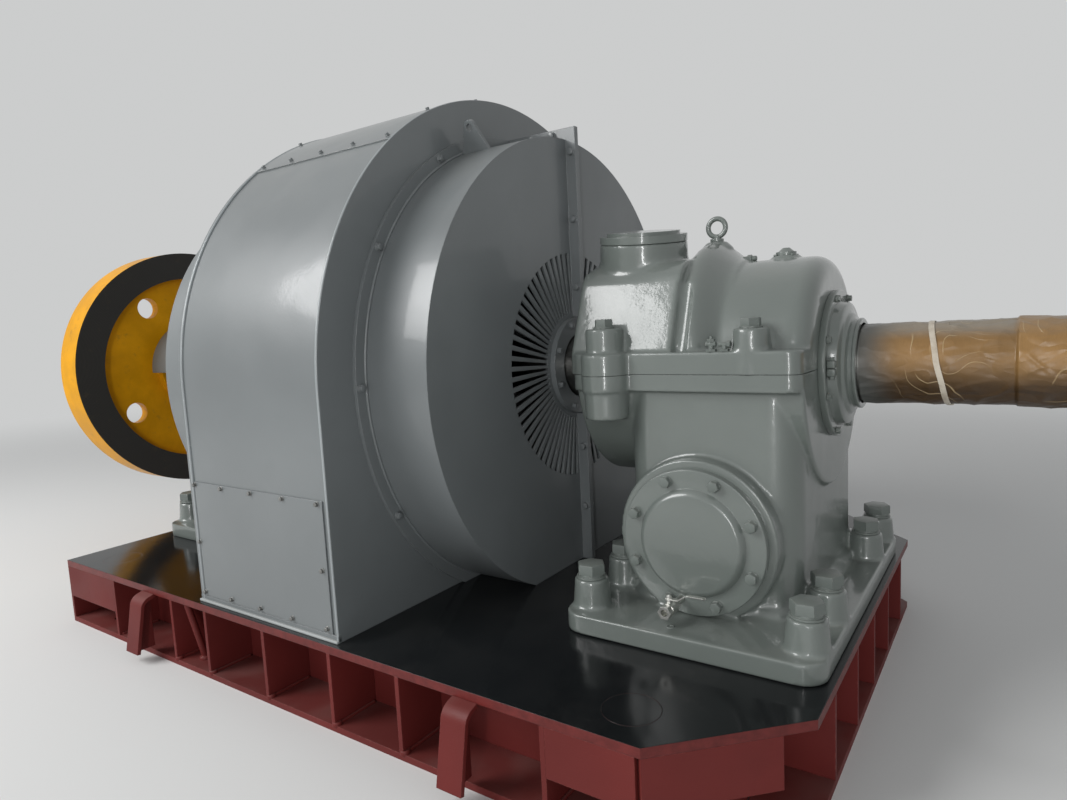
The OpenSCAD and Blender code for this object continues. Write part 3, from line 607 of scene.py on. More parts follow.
def paper_material(name, colour):
    """Waxed brown paper: creased, with painted highlights along the creases, a painted grey sheen over the
    top and painted shade below; paler past the overlap, with a grey film by the hub.
    """
    m = Finish(name)
    along = m.part(m.at, "X")
    height = m.math("SUBTRACT", m.part(m.at, "Z"), SHAFT_Z)
    overlap = m.ramp(along, LAP_X - 0.005, LAP_X + 0.007)
    folds = paper_folds(m, along, overlap)
    soak = m.noise(m.at, 3.2, 4.0, 0.5)
    mixed = m.blend(m.ramp(soak, 0.3, 0.72), rgba(colour, 0.55), rgba(colour, 1.35))
    mixed = m.blend(m.times(overlap, 0.45), mixed, rgba(colour, 1.9))
    # Painted shade: the wrap darkens towards its underside.
    mixed = m.blend(m.ramp(height, 0.035, -0.080, 0.0, 0.90), mixed, (0.030, 0.016, 0.007, 1))
    fibre = m.noise(m.stretched(m.at, (8.0, 1.0, 1.0)), 60.0, 4.0)
    mixed = m.blend(m.ramp(fibre, 0.35, 0.7, 0.0, 0.15), mixed, rgba(colour, 0.6))
    # Painted highlight: pale lines along the creases, where their ridges would catch the light.
    mixed = m.blend(m.times(folds, 0.55), mixed, (0.60, 0.45, 0.25, 1))
    # Painted reflection: the top of the wrap turns grey, most strongly before the overlap.
    painted_sheen = m.times(m.ramp(height, 0.075, 0.118), m.ramp(along, LAP_X + 0.005, LAP_X - 0.015, 0.2, 0.7))
    mixed = m.blend(painted_sheen, mixed, (0.27, 0.25, 0.21, 1))
    film = m.times(m.ramp(along, 1.76, 1.64), 0.88)
    mixed = m.blend(film, mixed, (0.100, 0.108, 0.104, 1))
    facet = m.node("TexVoronoi", {"Vector": m.at, "Scale": 11.0, "Smoothness": 0.3}, feature="SMOOTH_F1")
    facet = m.times(facet.outputs["Distance"], m.ramp(overlap, 0.0, 1.0, 0.25, 1.0))
    slack = m.noise(m.stretched(m.at, (0.6, 1.0, 1.3), (0.4, 0.5, 0.3)), 9.0, 2.0, 0.4)
    normal = m.bump(facet, 0.020, 0.7)
    normal = m.bump(m.math("PINGPONG", slack, 0.11), 0.05, 0.55, normal)
    normal = m.bump(folds, 0.0014, 0.8, normal)
    normal = m.bump(fibre, 0.0002, 0.5, normal)
    return m.done(Base_Color=mixed, Roughness=m.ramp(soak, 0.3, 0.7, 0.29, 0.40), Normal=normal)


def metal_material(name, colour, roughness, grease=0.3, lines=0.0001):
    """Bare or plated metal with darker greasy patches and fine turning lines."""
    m = Finish(name)
    patch = m.noise(m.at, 22.0, 3.0, 0.5)
    mixed = m.blend(m.times(m.ramp(patch, 0.5, 0.75), grease), rgba(colour), rgba(colour, 0.4))
    rough = m.ramp(patch, 0.25, 0.8, roughness * 0.9, roughness * 1.3)
    turning = m.noise(m.stretched(m.at, (140.0, 6.0, 6.0)), 6.0, 3.0)
    normal = m.bump(turning, lines, 0.4, m.soft_corners(0.0015))
    return m.done(Base_Color=mixed, Roughness=rough, Normal=normal, Metallic=1.0)


def tape_material(name):
    """Woven cotton tape, patchy with dirt and darker between its threads."""
    m = Finish(name)
    threads = [
        m.node("TexWave", {"Vector": m.at, "Scale": scale, "Distortion": 0.6}, bands_direction=way)
        for scale, way in ((190.0, "X"), (150.0, "Z"))]
    weave = m.times(*[thread.outputs["Fac"] for thread in threads])
    dirt = m.ramp(m.noise(m.at, 18.0, 5.0), 0.4, 0.75)
    mixed = m.blend(dirt, (0.66, 0.60, 0.50, 1), (0.42, 0.35, 0.26, 1))
    mixed = m.blend(m.ramp(weave, 0.0, 0.6, 0.3, 0.0), mixed, (0.25, 0.21, 0.16, 1))
    return m.done(Base_Color=mixed, Roughness=0.8, Sheen_Weight=0.2, Normal=m.bump(weave, 0.0005, 0.7))


def mix_finishes(p):
    peel = p.orange_peel
    return {
        "grey": paint("grey_enamel", p.grey, peel, waves=0.0010, wear=0.4, edge=0.004, coat=0.35),
        "shroud": paint("shroud_enamel", p.grey, peel, roughness=0.33, waves=0.0012, wear=0.4, edge=0.004,
                        coat=0.25),
        "casting": paint("casting_enamel", p.green_grey, 1.6 * peel, waves=0.0034, dust=0.08, wear=0.3,
                         wear_colour=(0.40, 0.42, 0.40), edge=0.0035, coat=0.8),
        "bolt": paint("bolt_enamel", p.green_grey, peel, roughness=0.32, mottling=0.10, dust=0.15, wear=0.9,
                      wear_colour=(0.34, 0.34, 0.31), edge=0.002),
        "red": paint("red_oxide", p.red_oxide, peel, roughness=0.50, mottling=0.14, waves=0.0012, dust=0.08,
                     wear=0.8, wear_colour=(0.26, 0.07, 0.055), edge=0.004, brush=0.0006, shine=0.22),
        # Painted highlight: the beads take the housing's grey at almost twice its brightness, as a lit edge.
        "bead": paint("bead_painted_highlight", [1.9 * c for c in p.grey], peel, mottling=0.10, coat=0.4),
        "sill": paint("sill_paint", (0.40, 0.42, 0.42), peel, roughness=0.45, mottling=0.12, dust=0.3),
        "black": plate_material("black_gloss", p.black, p.red_oxide),
        "wheel": flywheel_material("flywheel_paint", p.amber, p.band),
        "paper": paper_material("waxed_paper", p.paper),
        "tape": tape_material("cotton_tape"),
        "greased": metal_material("greased_steel", (0.20, 0.20, 0.19), 0.32, grease=0.8),
        "zinc": metal_material("zinc_plate", (0.26, 0.26, 0.25), 0.38, grease=0.6, lines=0.0),
        "nickel": metal_material("nickel_plate", (0.60, 0.60, 0.57), 0.32, grease=0.35, lines=0.0),
        "bronze": metal_material("bronze", (0.55, 0.34, 0.12), 0.3),
        "iron": metal_material("iron_core", (0.12, 0.12, 0.12), 0.5),
    }


NODE_FINISH = {
    "black": ("base_top_plate", "base_hatch_covers"),
    "red": ("base_foot_flanges", "base_foot_ties", "base_side_webs", "base_cross_webs", "base_ribs",
            "base_anchor_brackets", "base_closing_panels"),
    "grey": ("stator_wrapper", "stator_front_wall", "stator_rear_wall", "roof_cover", "access_panels",
             "stator_frame_plates", "shaft_guard"),
    "shroud": ("front_shroud_near", "front_shroud_far", "rear_shroud_near", "rear_shroud_far", "shaft_seals"),
    "sill": ("stator_sills",),
    "casting": ("front_pedestal", "front_bearing_cap", "inspection_lid", "front_side_covers",
                "front_outer_end_cover", "front_inner_end_cover", "front_eye_bolt", "vent_cap",
                "rear_pedestal", "rear_bearing_cap", "rear_end_covers"),
    "bolt": ("front_hold_down_bolts", "rear_hold_down_bolts"),
    "bronze": ("front_bearing_bush", "rear_bearing_bush"),
    "iron": ("stator_core", "rotor_core"),
    "greased": ("shaft",),
    "nickel": ("drain_valve", "drain_lever"),
    "wheel": ("flywheel",),
    "paper": ("shaft_wrap",),
    "tape": ("wrap_strap",),
}


class GENERATOR_OT_paint_frame(bpy.types.Operator):
    """Mix the paints and give each solid of the frame its own"""
    bl_idname = "generator.paint_frame"
    bl_label = "Paint the frame"

    def execute(self, context):
        FINISH.update(mix_finishes(context.scene.generator.paint))
        for finish, names in NODE_FINISH.items():
            for name in names:
                mesh = frame["nodes"][name].data
                mesh.materials.clear()
                mesh.materials.append(FINISH[finish])
        return {"FINISHED"}


# Castings


SPLIT_MOVE = 0.030
SPLIT_GAP = 0.0007


def soften(obj, test, rounds):
    """Smooths a casting only where the test on a point holds, which rounds out its fillets."""
    group = obj.vertex_groups.new(name="fillet")
    group.add([v.index for v in obj.data.vertices if test(v.co)], 1.0, "REPLACE")
    apply_modifier(obj, "SMOOTH", factor=0.5, iterations=rounds, vertex_group="fillet")
    obj.vertex_groups.clear()


def pedestal_root(p):
    """Where the front pedestal's body stands on its foot, away from the bolt bosses and the covers' seats."""
    if not 0.360 < p.z < 0.430 or abs(p.x - FRONT_X) > 0.333 or abs(p.y) > 0.525:
        return False
    boss = min(math.hypot(abs(p.x - FRONT_X) - FRONT_BOLT_X, abs(p.y) - y) for y in BOLT_Y)
    seat = abs(p.y) > 0.446 and math.hypot(p.x - COVER_X, p.z - COVER_Z) < 0.275
    return boss > 0.082 and not seat


def port_root(p):
    """Where the neck of the inspection port rises from the bearing cap."""
    return 1.435 < p.z < 1.530 and 0.135 < math.hypot(p.x - PORT_X, p.y - PORT_Y) < 0.215


def rounded_casting(name, source, grain, rounding, keep, side, root=None):
    """A copy of a solid with the soft corners and fillets of a painted casting.

    The face at the split line is moved on before the rounding and cut back after it, so its rim stays crisp.
    side is 1 for a casting that stands over the split line and -1 for one below it."""
    obj = frame["nodes"][source].copy()
    obj.data = obj.data.copy()
    obj.parent = None
    bpy.context.collection.objects.link(obj)
    outward(obj)
    select_faces(obj, lambda c, n: abs(c.z - SHAFT_Z) < 1e-3 and n.z * side < -0.9)
    bpy.ops.transform.translate(value=(0, 0, -SPLIT_MOVE * side))
    object_mode()
    apply_modifier(obj, "REMESH", mode="VOXEL", voxel_size=grain)
    apply_modifier(obj, "SMOOTH", factor=0.5, iterations=rounding)
    if root:
        soften(obj, root, 60)
    apply_modifier(obj, "DECIMATE", ratio=keep)
    edit_all()
    bpy.ops.mesh.bisect(
        plane_co=(0, 0, SHAFT_Z + SPLIT_GAP * side), plane_no=(0, 0, side), use_fill=True, clear_inner=True)
    object_mode()
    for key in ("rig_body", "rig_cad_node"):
        if key in obj:
            del obj[key]
    finish_piece(obj, name, "casting", 50, (source,))


class GENERATOR_OT_castings(bpy.types.Operator):
    """Model the pedestals and bearing caps as rounded castings"""
    bl_idname = "generator.castings"
    bl_label = "Castings"

    def execute(self, context):
        s = context.scene.generator.casting
        rounded_casting("front_pedestal_casting", "front_pedestal", s.grain * 0.9, s.rounding, 0.45, -1,
                        pedestal_root)
        rounded_casting("front_cap_casting", "front_bearing_cap", s.grain * 0.75, s.rounding + 7, 0.5, 1,
                        port_root)
        rounded_casting("rear_pedestal_casting", "rear_pedestal", s.grain * 1.4, 3, 0.5, -1)
        rounded_casting("rear_cap_casting", "rear_bearing_cap", s.grain * 1.4, 3, 0.5, 1)
        return {"FINISHED"}


def side_cover(name, sign):
    """The round cover on one side of the front pedestal, with a raised middle."""
    low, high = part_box("front_side_covers")
    radius = (high.x - low.x) / 2
    out = Vector((0, sign, 0))
    face = Vector((COVER_X, sign * COVER_SEAT_Y, COVER_Z))
    disc = cylinder(face, radius, COVER_THICKNESS, out, 96, 0.003)
    select_faces(disc, lambda c, n: n.dot(out) > 0.9 and (c - face).length < radius * 0.8)
    bpy.ops.mesh.inset(thickness=radius - COVER_MIDDLE_R)
    extrude(out * COVER_RISE)
    bpy.ops.transform.resize(value=(COVER_TAPER, 1, COVER_TAPER), center_override=face)
    bpy.ops.mesh.inset(thickness=0.012)
    bpy.ops.transform.translate(value=out * 0.0025)
    object_mode()
    finish_piece(disc, name, "casting", 50, ("front_side_covers",))
    return face, out


def side_cover_bolts(name, face, out, across):
    places = []
    for k in range(8):
        a = math.radians(22.5 + 45 * k)
        at = face + out * COVER_THICKNESS + Vector((math.cos(a), 0, math.sin(a))) * COVER_BOLT_R
        places.append((at, out, 17 * k))
    bolts(name + "_bolts", "bolt", (across, 0.018, across * 0.60, 0.004), places)


class GENERATOR_OT_side_covers(bpy.types.Operator):
    """Model the round covers on both sides of the front pedestal, with their bolts"""
    bl_idname = "generator.side_covers"
    bl_label = "Side covers"

    def execute(self, context):
        across = context.scene.generator.fasteners.side_cover_bolt
        for sign, name in ((-1, "side_cover_near"), (1, "side_cover_far")):
            side_cover_bolts(name, *side_cover(name, sign), across)
        return {"FINISHED"}


END_COVER_PROFILE = (
    (0, 0.133), (0, 0.243), (0.003, 0.245), (0.019, 0.245), (0.022, 0.242), (0.022, 0.216),
    (0.018, 0.214), (0.018, 0.209), (0.022, 0.207), (0.030, 0.204), (0.046, 0.201), (0.049, 0.197),
    (0.050, 0.178), (0.053, 0.170), (0.060, 0.166), (0.063, 0.162), (0.064, 0.150), (0.067, 0.146),
    (0.078, 0.146), (0.080, 0.149), (0.087, 0.149), (0.0895, 0.146), (0.0895, 0.133))
END_COVER_BOLT = (0.019, 0.011, 0.013, 0.002)
END_COVER_BOLT_R = 0.233
CLAMP_SCREW = (0.016, 0.010, 0.011, 0.002)
CLAMP_START, CLAMP_END = 0.023, 0.047
CLAMP_Y = 0.209
CLAMP_HALF, CLAMP_HEIGHT = 0.018, 0.024
CLAMP_SCREW_Z = 0.023


def end_cover_clamps(start, sign):
    """Clamp blocks over and under the split line on both sides of an end cover, each with its screw."""
    parts = []
    for side in (-1, 1):
        y = side * CLAMP_Y
        for way in (-1, 1):
            parts.append(block(
                (start + sign * CLAMP_START, y - CLAMP_HALF, SHAFT_Z + way * 0.001),
                (start + sign * CLAMP_END, y + CLAMP_HALF, SHAFT_Z + way * CLAMP_HEIGHT), 0.003))
        mid = Vector((start + sign * (CLAMP_START + CLAMP_END) / 2, y + side * 0.004, SHAFT_Z))
        places = [(mid + UP * CLAMP_SCREW_Z, UP, 20), (mid - UP * CLAMP_SCREW_Z, -UP, 10)]
        parts.append(set_out(hexagon_bolt(*CLAMP_SCREW), places))
    return join(parts)


def end_cover(source, sign):
    """A turned end cover with its ring of bolts and its clamps."""
    low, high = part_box(source)
    start = low.x if sign > 0 else high.x
    ring = turned([(start + sign * x, r) for x, r in END_COVER_PROFILE], 128, closed=True)
    finish_piece(ring, source + "_turned", "casting", 35, (source,))
    places = eight_around(END_COVER_BOLT_R, start + sign * CLAMP_START, AXIS * sign, 13)
    bolts(source + "_bolts", "bolt", END_COVER_BOLT, places)
    finish_piece(end_cover_clamps(start, sign), source + "_clamps", "bolt")


class GENERATOR_OT_end_covers(bpy.types.Operator):
    """Turn the split end covers where the shaft leaves the front bearing"""
    bl_idname = "generator.end_covers"
    bl_label = "End covers"

    def execute(self, context):
        end_cover("front_outer_end_cover", 1)
        end_cover("front_inner_end_cover", -1)
        return {"FINISHED"}


# Fasteners


HOLD_DOWN_WASHER = (0.0495, 0.006)
HOLD_DOWN_RING = (0.0435, 0.008)
HOLD_DOWN_HEAD, HOLD_DOWN_HEAD_Z = 0.035, 0.0135
CAP_BOLT = (0.055, 0.026, 0.036, 0.005)
FRONT_CAP_BOLTS = ((0.905, 0.440, 1.285), (1.384, 0.384, 1.270))
REAR_CAP_BOLTS = ((-1.480, 0.350, 1.250), (-1.220, 0.350, 1.250))
ROOF_SCREW_X = (-0.527, -0.348, -0.168, 0.012, 0.192)
ROOF_SCREW_ANGLE = 37.6
ROOF_END_ANGLES = (-25, -9, 9, 25)
PANEL_SCREW_X = (-0.536, -0.363, -0.184, -0.002, 0.181)
PANEL_SCREW_ROWS = ((0.765, PANEL_SCREW_X), (0.540, (-0.540, 0.181)), (0.340, PANEL_SCREW_X))
ROOT_BOLT_R = 0.938
ROOT_SEAT = 0.015
SEAM_BOLT_Z = (1.987, 1.723, 1.450, 0.788, 0.532)
SEAM_BOLT_REACH = 0.026
SEAM_TOP_Z = 2.063
SEAM_TOP_INSETS = (0.06, 0.16)
SEAM_HALF = 0.012
SEAL_BOLT = (0.019, 0.012, 0.014, 0.002)
SEAL_BOLT_R = 0.178


def spun(rng, spots):
    """Turns each bolt by chance, because no two are tightened to the same angle."""
    return [(point, axis, rng.uniform(0, 60)) for point, axis in spots]


def hold_down_heads(source, mid_x, bolt_x, cap_bolts, across, rng):
    """Heavy bolts on two washers in the foot of a pedestal, and lighter ones in the flange of its cap."""
    foot = [
        Vector((mid_x + sx * bolt_x, sy * y, FOOT_TOP))
        for sx in (-1, 1) for sy in (-1, 1) for y in BOLT_Y]
    flange = [Vector((x, sy * y, z)) for x, y, z in cap_bolts for sy in (-1, 1)]
    big, small = (spun(rng, [(point, UP) for point in row]) for row in (foot, flange))
    washer = cylinder(Vector(), *HOLD_DOWN_WASHER, UP, 48, 0.0015)
    ring = cylinder(UP * HOLD_DOWN_WASHER[1], *HOLD_DOWN_RING, UP, 48, 0.002)
    head = hexagon_bolt(across, HOLD_DOWN_HEAD)
    head.location.z = HOLD_DOWN_HEAD_Z
    heads = set_out(join([head, washer, ring]), big)
    caps = set_out(hexagon_bolt(*CAP_BOLT), small)
    finish_piece(join([heads, caps]), source + "_heads", "bolt", 30, (source,))


class GENERATOR_OT_hold_down_bolts(bpy.types.Operator):
    """Replace the plain bolt heads by chamfered heads on washers"""
    bl_idname = "generator.hold_down_bolts"
    bl_label = "Hold-down bolts"

    def execute(self, context):
        across = context.scene.generator.fasteners.hold_down_bolt
        rng = random.Random(SEED)
        hold_down_heads("front_hold_down_bolts", FRONT_X, FRONT_BOLT_X, FRONT_CAP_BOLTS, across, rng)
        hold_down_heads("rear_hold_down_bolts", REAR_X, REAR_BOLT_X, REAR_CAP_BOLTS, across, rng)
        return {"FINISHED"}


class GENERATOR_OT_housing_screws(bpy.types.Operator):
    """Set the screws of the roof cover and of the access panels"""
    bl_idname = "generator.housing_screws"
    bl_label = "Housing screws"

    def execute(self, context):
        across = context.scene.generator.fasteners.cover_screw
        size = (across, 0.0085, across * 0.66, 0.002)
        rng = random.Random(SEED + 1)
        rim = [(side * ROOF_SCREW_ANGLE, x) for x in ROOF_SCREW_X for side in (-1, 1)]
        ends = (REAR_FACE_X + 0.030, FRONT_FACE_X - 0.030)
        rim += [(degrees, x) for x in ends for degrees in ROOF_END_ANGLES]
        spots = [around(HOUSING_R, *spot) for spot in rim]
        bolts("roof_cover_screws", "grey", size, spun(rng, spots))
        spots = [
            (Vector((x, side * HOUSING_R, z)), Vector((0, side, 0)))
            for z, row in PANEL_SCREW_ROWS for x in row for side in (-1, 1)]
        bolts("access_panel_screws", "zinc", size, spun(rng, spots))
        return {"FINISHED"}


def shroud_bolts(end, face_x, far_x, sign, across, rng):
    """The bolts around a shroud's foot, through the flanges of its upright seam and around its shaft seal."""
    out = AXIS * sign
    root = [(around(ROOT_BOLT_R, 30 * k, face_x + sign * ROOT_SEAT)[0], out) for k in range(-4, 5) if k]
    size = (across * 0.85, 0.012, across * 0.62, 0.003)
    bolts(end + "_root_bolts", "grey", size, spun(rng, root))
    seam = [(far_x + sign * SEAM_BOLT_REACH, z) for z in SEAM_BOLT_Z]
    seam += [(far_x - sign * inset, SEAM_TOP_Z) for inset in SEAM_TOP_INSETS]
    places = spun(rng, [
        (Vector((x, -SEAM_HALF * way, z)), NEAR * way) for x, z in seam for way in (1, -1)])
    size = (across, 0.014, across * 0.68, 0.003)
    heads = set_out(hexagon_bolt(*size), places[::2])
    nuts = set_out(hexagon_bolt(*size, stud=0.009), places[1::2])
    finish_piece(join([heads, nuts]), end + "_seam_bolts", "grey")
    places = eight_around(SEAL_BOLT_R, far_x + sign * SEAL_DEPTH, out, 11)
    bolts(end + "_seal_bolts", "grey", SEAL_BOLT, places)


class GENERATOR_OT_shroud_bolts(bpy.types.Operator):
    """Set the bolts around the feet of the shrouds, through their seam flanges and around the shaft seals"""
    bl_idname = "generator.shroud_bolts"
    bl_label = "Shroud bolts"

    def execute(self, context):
        across = context.scene.generator.fasteners.seam_bolt
        rng = random.Random(SEED + 2)
        shroud_bolts("front", FRONT_FACE_X, FRONT_SHROUD_X, 1, across, rng)
        shroud_bolts("rear", REAR_FACE_X, REAR_SHROUD_X, -1, across, rng)
        return {"FINISHED"}


# Seams and beads


SHROUD_BEAD, SHROUD_BEAD_R, SHROUD_BEAD_ANGLE = 0.0055, 0.913, 151
SHROUD_BEAD_X = (FRONT_FACE_X + 0.0155, REAR_FACE_X - 0.0155)
HOUSING_BEAD, HOUSING_BEAD_R = 0.0058, HOUSING_R - 0.0032
HOUSING_BEAD_X = (REAR_FACE_X + 0.017, FRONT_FACE_X - 0.006)
WELD_R, WELD_LENGTH, WELD_INSET = 0.0065, 0.165, 0.003
BRACE_TOP = Vector((-0.705, 1.095, 0.268))
BRACE_FOOT = Vector((-0.659, 1.062, 0.026))
BRACKET_X = (-0.931, 0.795)
BRACKET_FOOT_Z, BRACKET_TOP_Z = 0.045, 0.268
STRAP_WIDTH, STRAP_THICKNESS = 0.090, 0.014
REAR_BAY_X = (-1.4745, -1.243)


def arc_bead(x, radius, bead, half_angle):
    """A bead along a circle about the shaft, open below. The tool turns against the sign of its angle."""
    deselect_all()
    start, out = around(radius, -half_angle, x)
    bpy.ops.mesh.primitive_circle_add(
        vertices=10, radius=bead, fill_type="NGON", location=start,
        rotation=AXIS.cross(out).to_track_quat("Z", "Y").to_euler())
    obj = bpy.context.object
    apply_place()
    edit_all()
    bpy.ops.mesh.spin(steps=160, angle=-math.radians(2 * half_angle), center=(x, 0, SHAFT_Z), axis=AXIS)
    object_mode()
    outward(obj)
    return obj


def housing_beads():
    """The bead along each edge of the housing, over the roof and down both sides to the base."""
    beads = []
    for x in HOUSING_BEAD_X:
        beads.append(arc_bead(x, HOUSING_BEAD_R, HOUSING_BEAD, 90))
        for side in (-1, 1):
            foot = Vector((x, side * HOUSING_BEAD_R, BASE_TOP))
            beads.append(cylinder(foot, HOUSING_BEAD, SHAFT_Z - BASE_TOP, UP, 10))
    return join(beads)


class GENERATOR_OT_weld_beads(bpy.types.Operator):
    """Lay the beads around the shrouds and along the edges of the housing"""
    bl_idname = "generator.weld_beads"
    bl_label = "Beads"

    def execute(self, context):
        rings = [arc_bead(x, SHROUD_BEAD_R, SHROUD_BEAD, SHROUD_BEAD_ANGLE) for x in SHROUD_BEAD_X]
        finish_piece(join(rings), "shroud_beads", "shroud", 60)
        # The housing's beads carry a painted highlight: their grey is lightened to show a lit edge.
        finish_piece(housing_beads(), "housing_beads", "bead", 60)
        return {"FINISHED"}


def rib_welds():
    """Slightly uneven fillet welds along the top and the foot of each rib, on both its sides."""
    rod = cylinder(Vector(), WELD_R, WELD_LENGTH, UP, 8, 0.002)
    select_faces(rod, lambda c, n: abs(n.z) < 0.5 and 0.04 < c.z < 0.13)
    bpy.ops.mesh.subdivide(number_cuts=5)
    object_mode()
    for v in rod.data.vertices:
        v.co *= 1 + 0.10 * noise.noise(v.co * 90)
    return set_out(rod, [
        (Vector((x + sx * (RIB_HALF + WELD_INSET), sy * (RIB_Y - 0.170), z)), Vector((0, sy, 0)), 0)
        for x in RIB_X for sy in (-1, 1) for sx in (-1, 1)
        for z in (RIB_LOW + WELD_INSET, RIB_HIGH - WELD_INSET)])


def weld_ends():
    """The small run-out of the weld at the foot of each rib, apart from the one at the rear corner."""
    blob = cylinder(Vector((0, 0, -0.004)), 0.017, 0.015, UP, 16, 0.006)
    return set_out(blob, [
        (Vector((x + 0.004, side * (RIB_Y - 0.012), RIB_LOW)), UP, 40 * k)
        for k, x in enumerate(RIB_X[1:]) for side in (-1, 1)])


def braces():
    """A slanting bar under each long edge of the top plate, with a weld around its foot."""
    bars = []
    for side in (-1, 1):
        top, foot = (Vector((end.x, side * end.y, end.z)) for end in (BRACE_TOP, BRACE_FOOT))
        bars.append(cylinder(top, 0.013, (foot - top).length, (foot - top).normalized(), 20, 0.002))
        bars.append(cylinder(foot - UP * 0.006, 0.024, 0.014, UP, 20, 0.006))
    return join(bars)


class GENERATOR_OT_base_welds(bpy.types.Operator):
    """Lay fillet welds along the ribs of the base, with a small run-out at each foot, and set the braces"""
    bl_idname = "generator.base_welds"
    bl_label = "Base welds"

    def execute(self, context):
        finish_piece(join([rib_welds(), weld_ends()]), "base_rib_welds", "red", 60)
        finish_piece(braces(), "base_braces", "red", 50)
        return {"FINISHED"}


def anchor_bracket():
    """A bent strap with a round shoulder over an upright web, and the weld along its top."""
    bend_y, bend_z, bend_r = -RIB_Y - 0.010, 0.2225, 0.041
    line = [(-RIB_Y - 0.085, BRACKET_FOOT_Z), (-RIB_Y - 0.050, 0.228)]
    for k in range(1, 9):
        a = math.radians(8 + k * 8.5)
        line.append((bend_y - bend_r * math.cos(a), bend_z + bend_r * math.sin(a)))
    line.append((-RIB_Y + 0.001, BRACKET_TOP_Z))
    strap = ribbon(line, STRAP_WIDTH, STRAP_THICKNESS)
    web = block((-RIB_HALF, -RIB_Y - 0.078, BRACKET_FOOT_Z), (RIB_HALF, -RIB_Y, 0.250))
    select_edges(web, lambda a, b: min(a.z, b.z) > 0.2 and max(a.y, b.y) < -RIB_Y - 0.05)
    bpy.ops.transform.translate(value=(0, 0.030, 0))
    object_mode()
    blob = cylinder(Vector((-0.030, bend_y, 0.258)), 0.008, 0.060, AXIS, 10, 0.003)
    for v in blob.data.vertices:
        v.co.z += 0.004 * noise.noise(v.co * 60)
    return join([strap, web, blob])


def side_bars(x, inner, outer, z, bevel=0.0):
    """A bar along each side of the machine, between two places across it and two heights."""
    return join([
        block((x[0], side * inner, z[0]), (x[1], side * outer, z[1]), bevel) for side in (-1, 1)])


class GENERATOR_OT_base_brackets(bpy.types.Operator):
    """Bend the anchor brackets, close the rear bays up to the first rib and lay the housing's strips"""
    bl_idname = "generator.base_brackets"
    bl_label = "Base brackets"

    def execute(self, context):
        places = [(Vector((x, 0, 0)), UP, spin) for x in BRACKET_X for spin in (0, 180)]
        finish_piece(set_out(anchor_bracket(), places), "anchor_brackets_bent", "red", 30,
                     ("base_anchor_brackets",))
        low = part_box("base_closing_panels")[0].z
        panels = side_bars(REAR_BAY_X, RIB_Y - 0.016, RIB_Y, (low, 0.2725))
        finish_piece(panels, "base_rear_closing", "red", 30)
        low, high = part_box("stator_sills")
        length = (low.x, high.x)
        strips = side_bars(length, HOUSING_R - 0.001, HOUSING_R + 0.010, (low.z, low.z + 0.009), 0.0015)
        finish_piece(strips, "housing_sill_strips", "sill", 30, ("stator_sills",))
        edges = side_bars(length, HOUSING_R - 0.010, HOUSING_R + 0.0015, (low.z + 0.004, high.z))
        finish_piece(edges, "housing_sill_edges", "grey", 30)
        return {"FINISHED"}


# Fittings


COCK_SEAT = Vector((1.272, -0.424, 1.201))
ELBOW_SEAT = Vector((1.314, -0.424, 1.201))
PLUG_SEAT = Vector((1.262, 0, 1.486))
DRAIN_SPOT = Vector((1.190, -0.606, 0.3625))
VENT_SCREW_R, VENT_SCREW_Z = 0.040, 1.5005


def stack(base, bars):
    """Round bars at (x, z) from base, each with its radius, length, axis, number of sides and bevel."""
    return [cylinder(base + Vector((x, 0, z)), *bar) for x, z, *bar in bars]


def flange_fittings():
    """A small cock and an elbow on the flange of the cap."""
    cock = stack(COCK_SEAT, (
        (0, 0, 0.017, 0.008, UP, 6, 0.001), (0, 0.008, 0.0085, 0.022, UP, 20, 0.001),
        (-0.016, 0.024, 0.0085, 0.032, AXIS, 20, 0.002), (0, 0.030, 0.013, 0.010, UP, 6, 0.0015),
        (0, 0.040, 0.005, 0.008, UP, 12, 0.001)))
    elbow = stack(ELBOW_SEAT, (
        (0, 0, 0.015, 0.008, UP, 6, 0.001), (0, 0.008, 0.008, 0.014, UP, 20, 0.001),
        (-0.018, 0.022, 0.0075, 0.034, AXIS, 20, 0.003), (0.010, 0.022, 0.012, 0.010, AXIS, 6, 0.0015)))
    return join(cock + elbow)


def crown_plug():
    """A plug that lies on the crown between the ridge and the vent."""
    return join(stack(PLUG_SEAT, (
        (0, 0, 0.014, 0.010, UP, 20, 0.002), (-0.024, 0.016, 0.0095, 0.048, AXIS, 20, 0.004),
        (-0.008, 0.016, 0.014, 0.016, AXIS, 6, 0.002))))


def vent_screw_places():
    x, y = centre("vent_cap")[:2]
    places = []
    for k in range(4):
        a = math.radians(45 + 90 * k)
        at = (x + VENT_SCREW_R * math.cos(a), y + VENT_SCREW_R * math.sin(a), VENT_SCREW_Z)
        places.append((Vector(at), UP, 20 * k))
    return places


def drain_ring():
    """A ring with a sunk plug on the foot of the pedestal."""
    ring = cylinder(DRAIN_SPOT, 0.014, 0.004, UP, 28, 0.0015)
    select_faces(ring, lambda c, n: n.z > 0.9 and (c - DRAIN_SPOT).xy.length < 0.004)
    bpy.ops.mesh.inset(thickness=0.004)
    extrude((0, 0, -0.005))
    object_mode()
    return ring


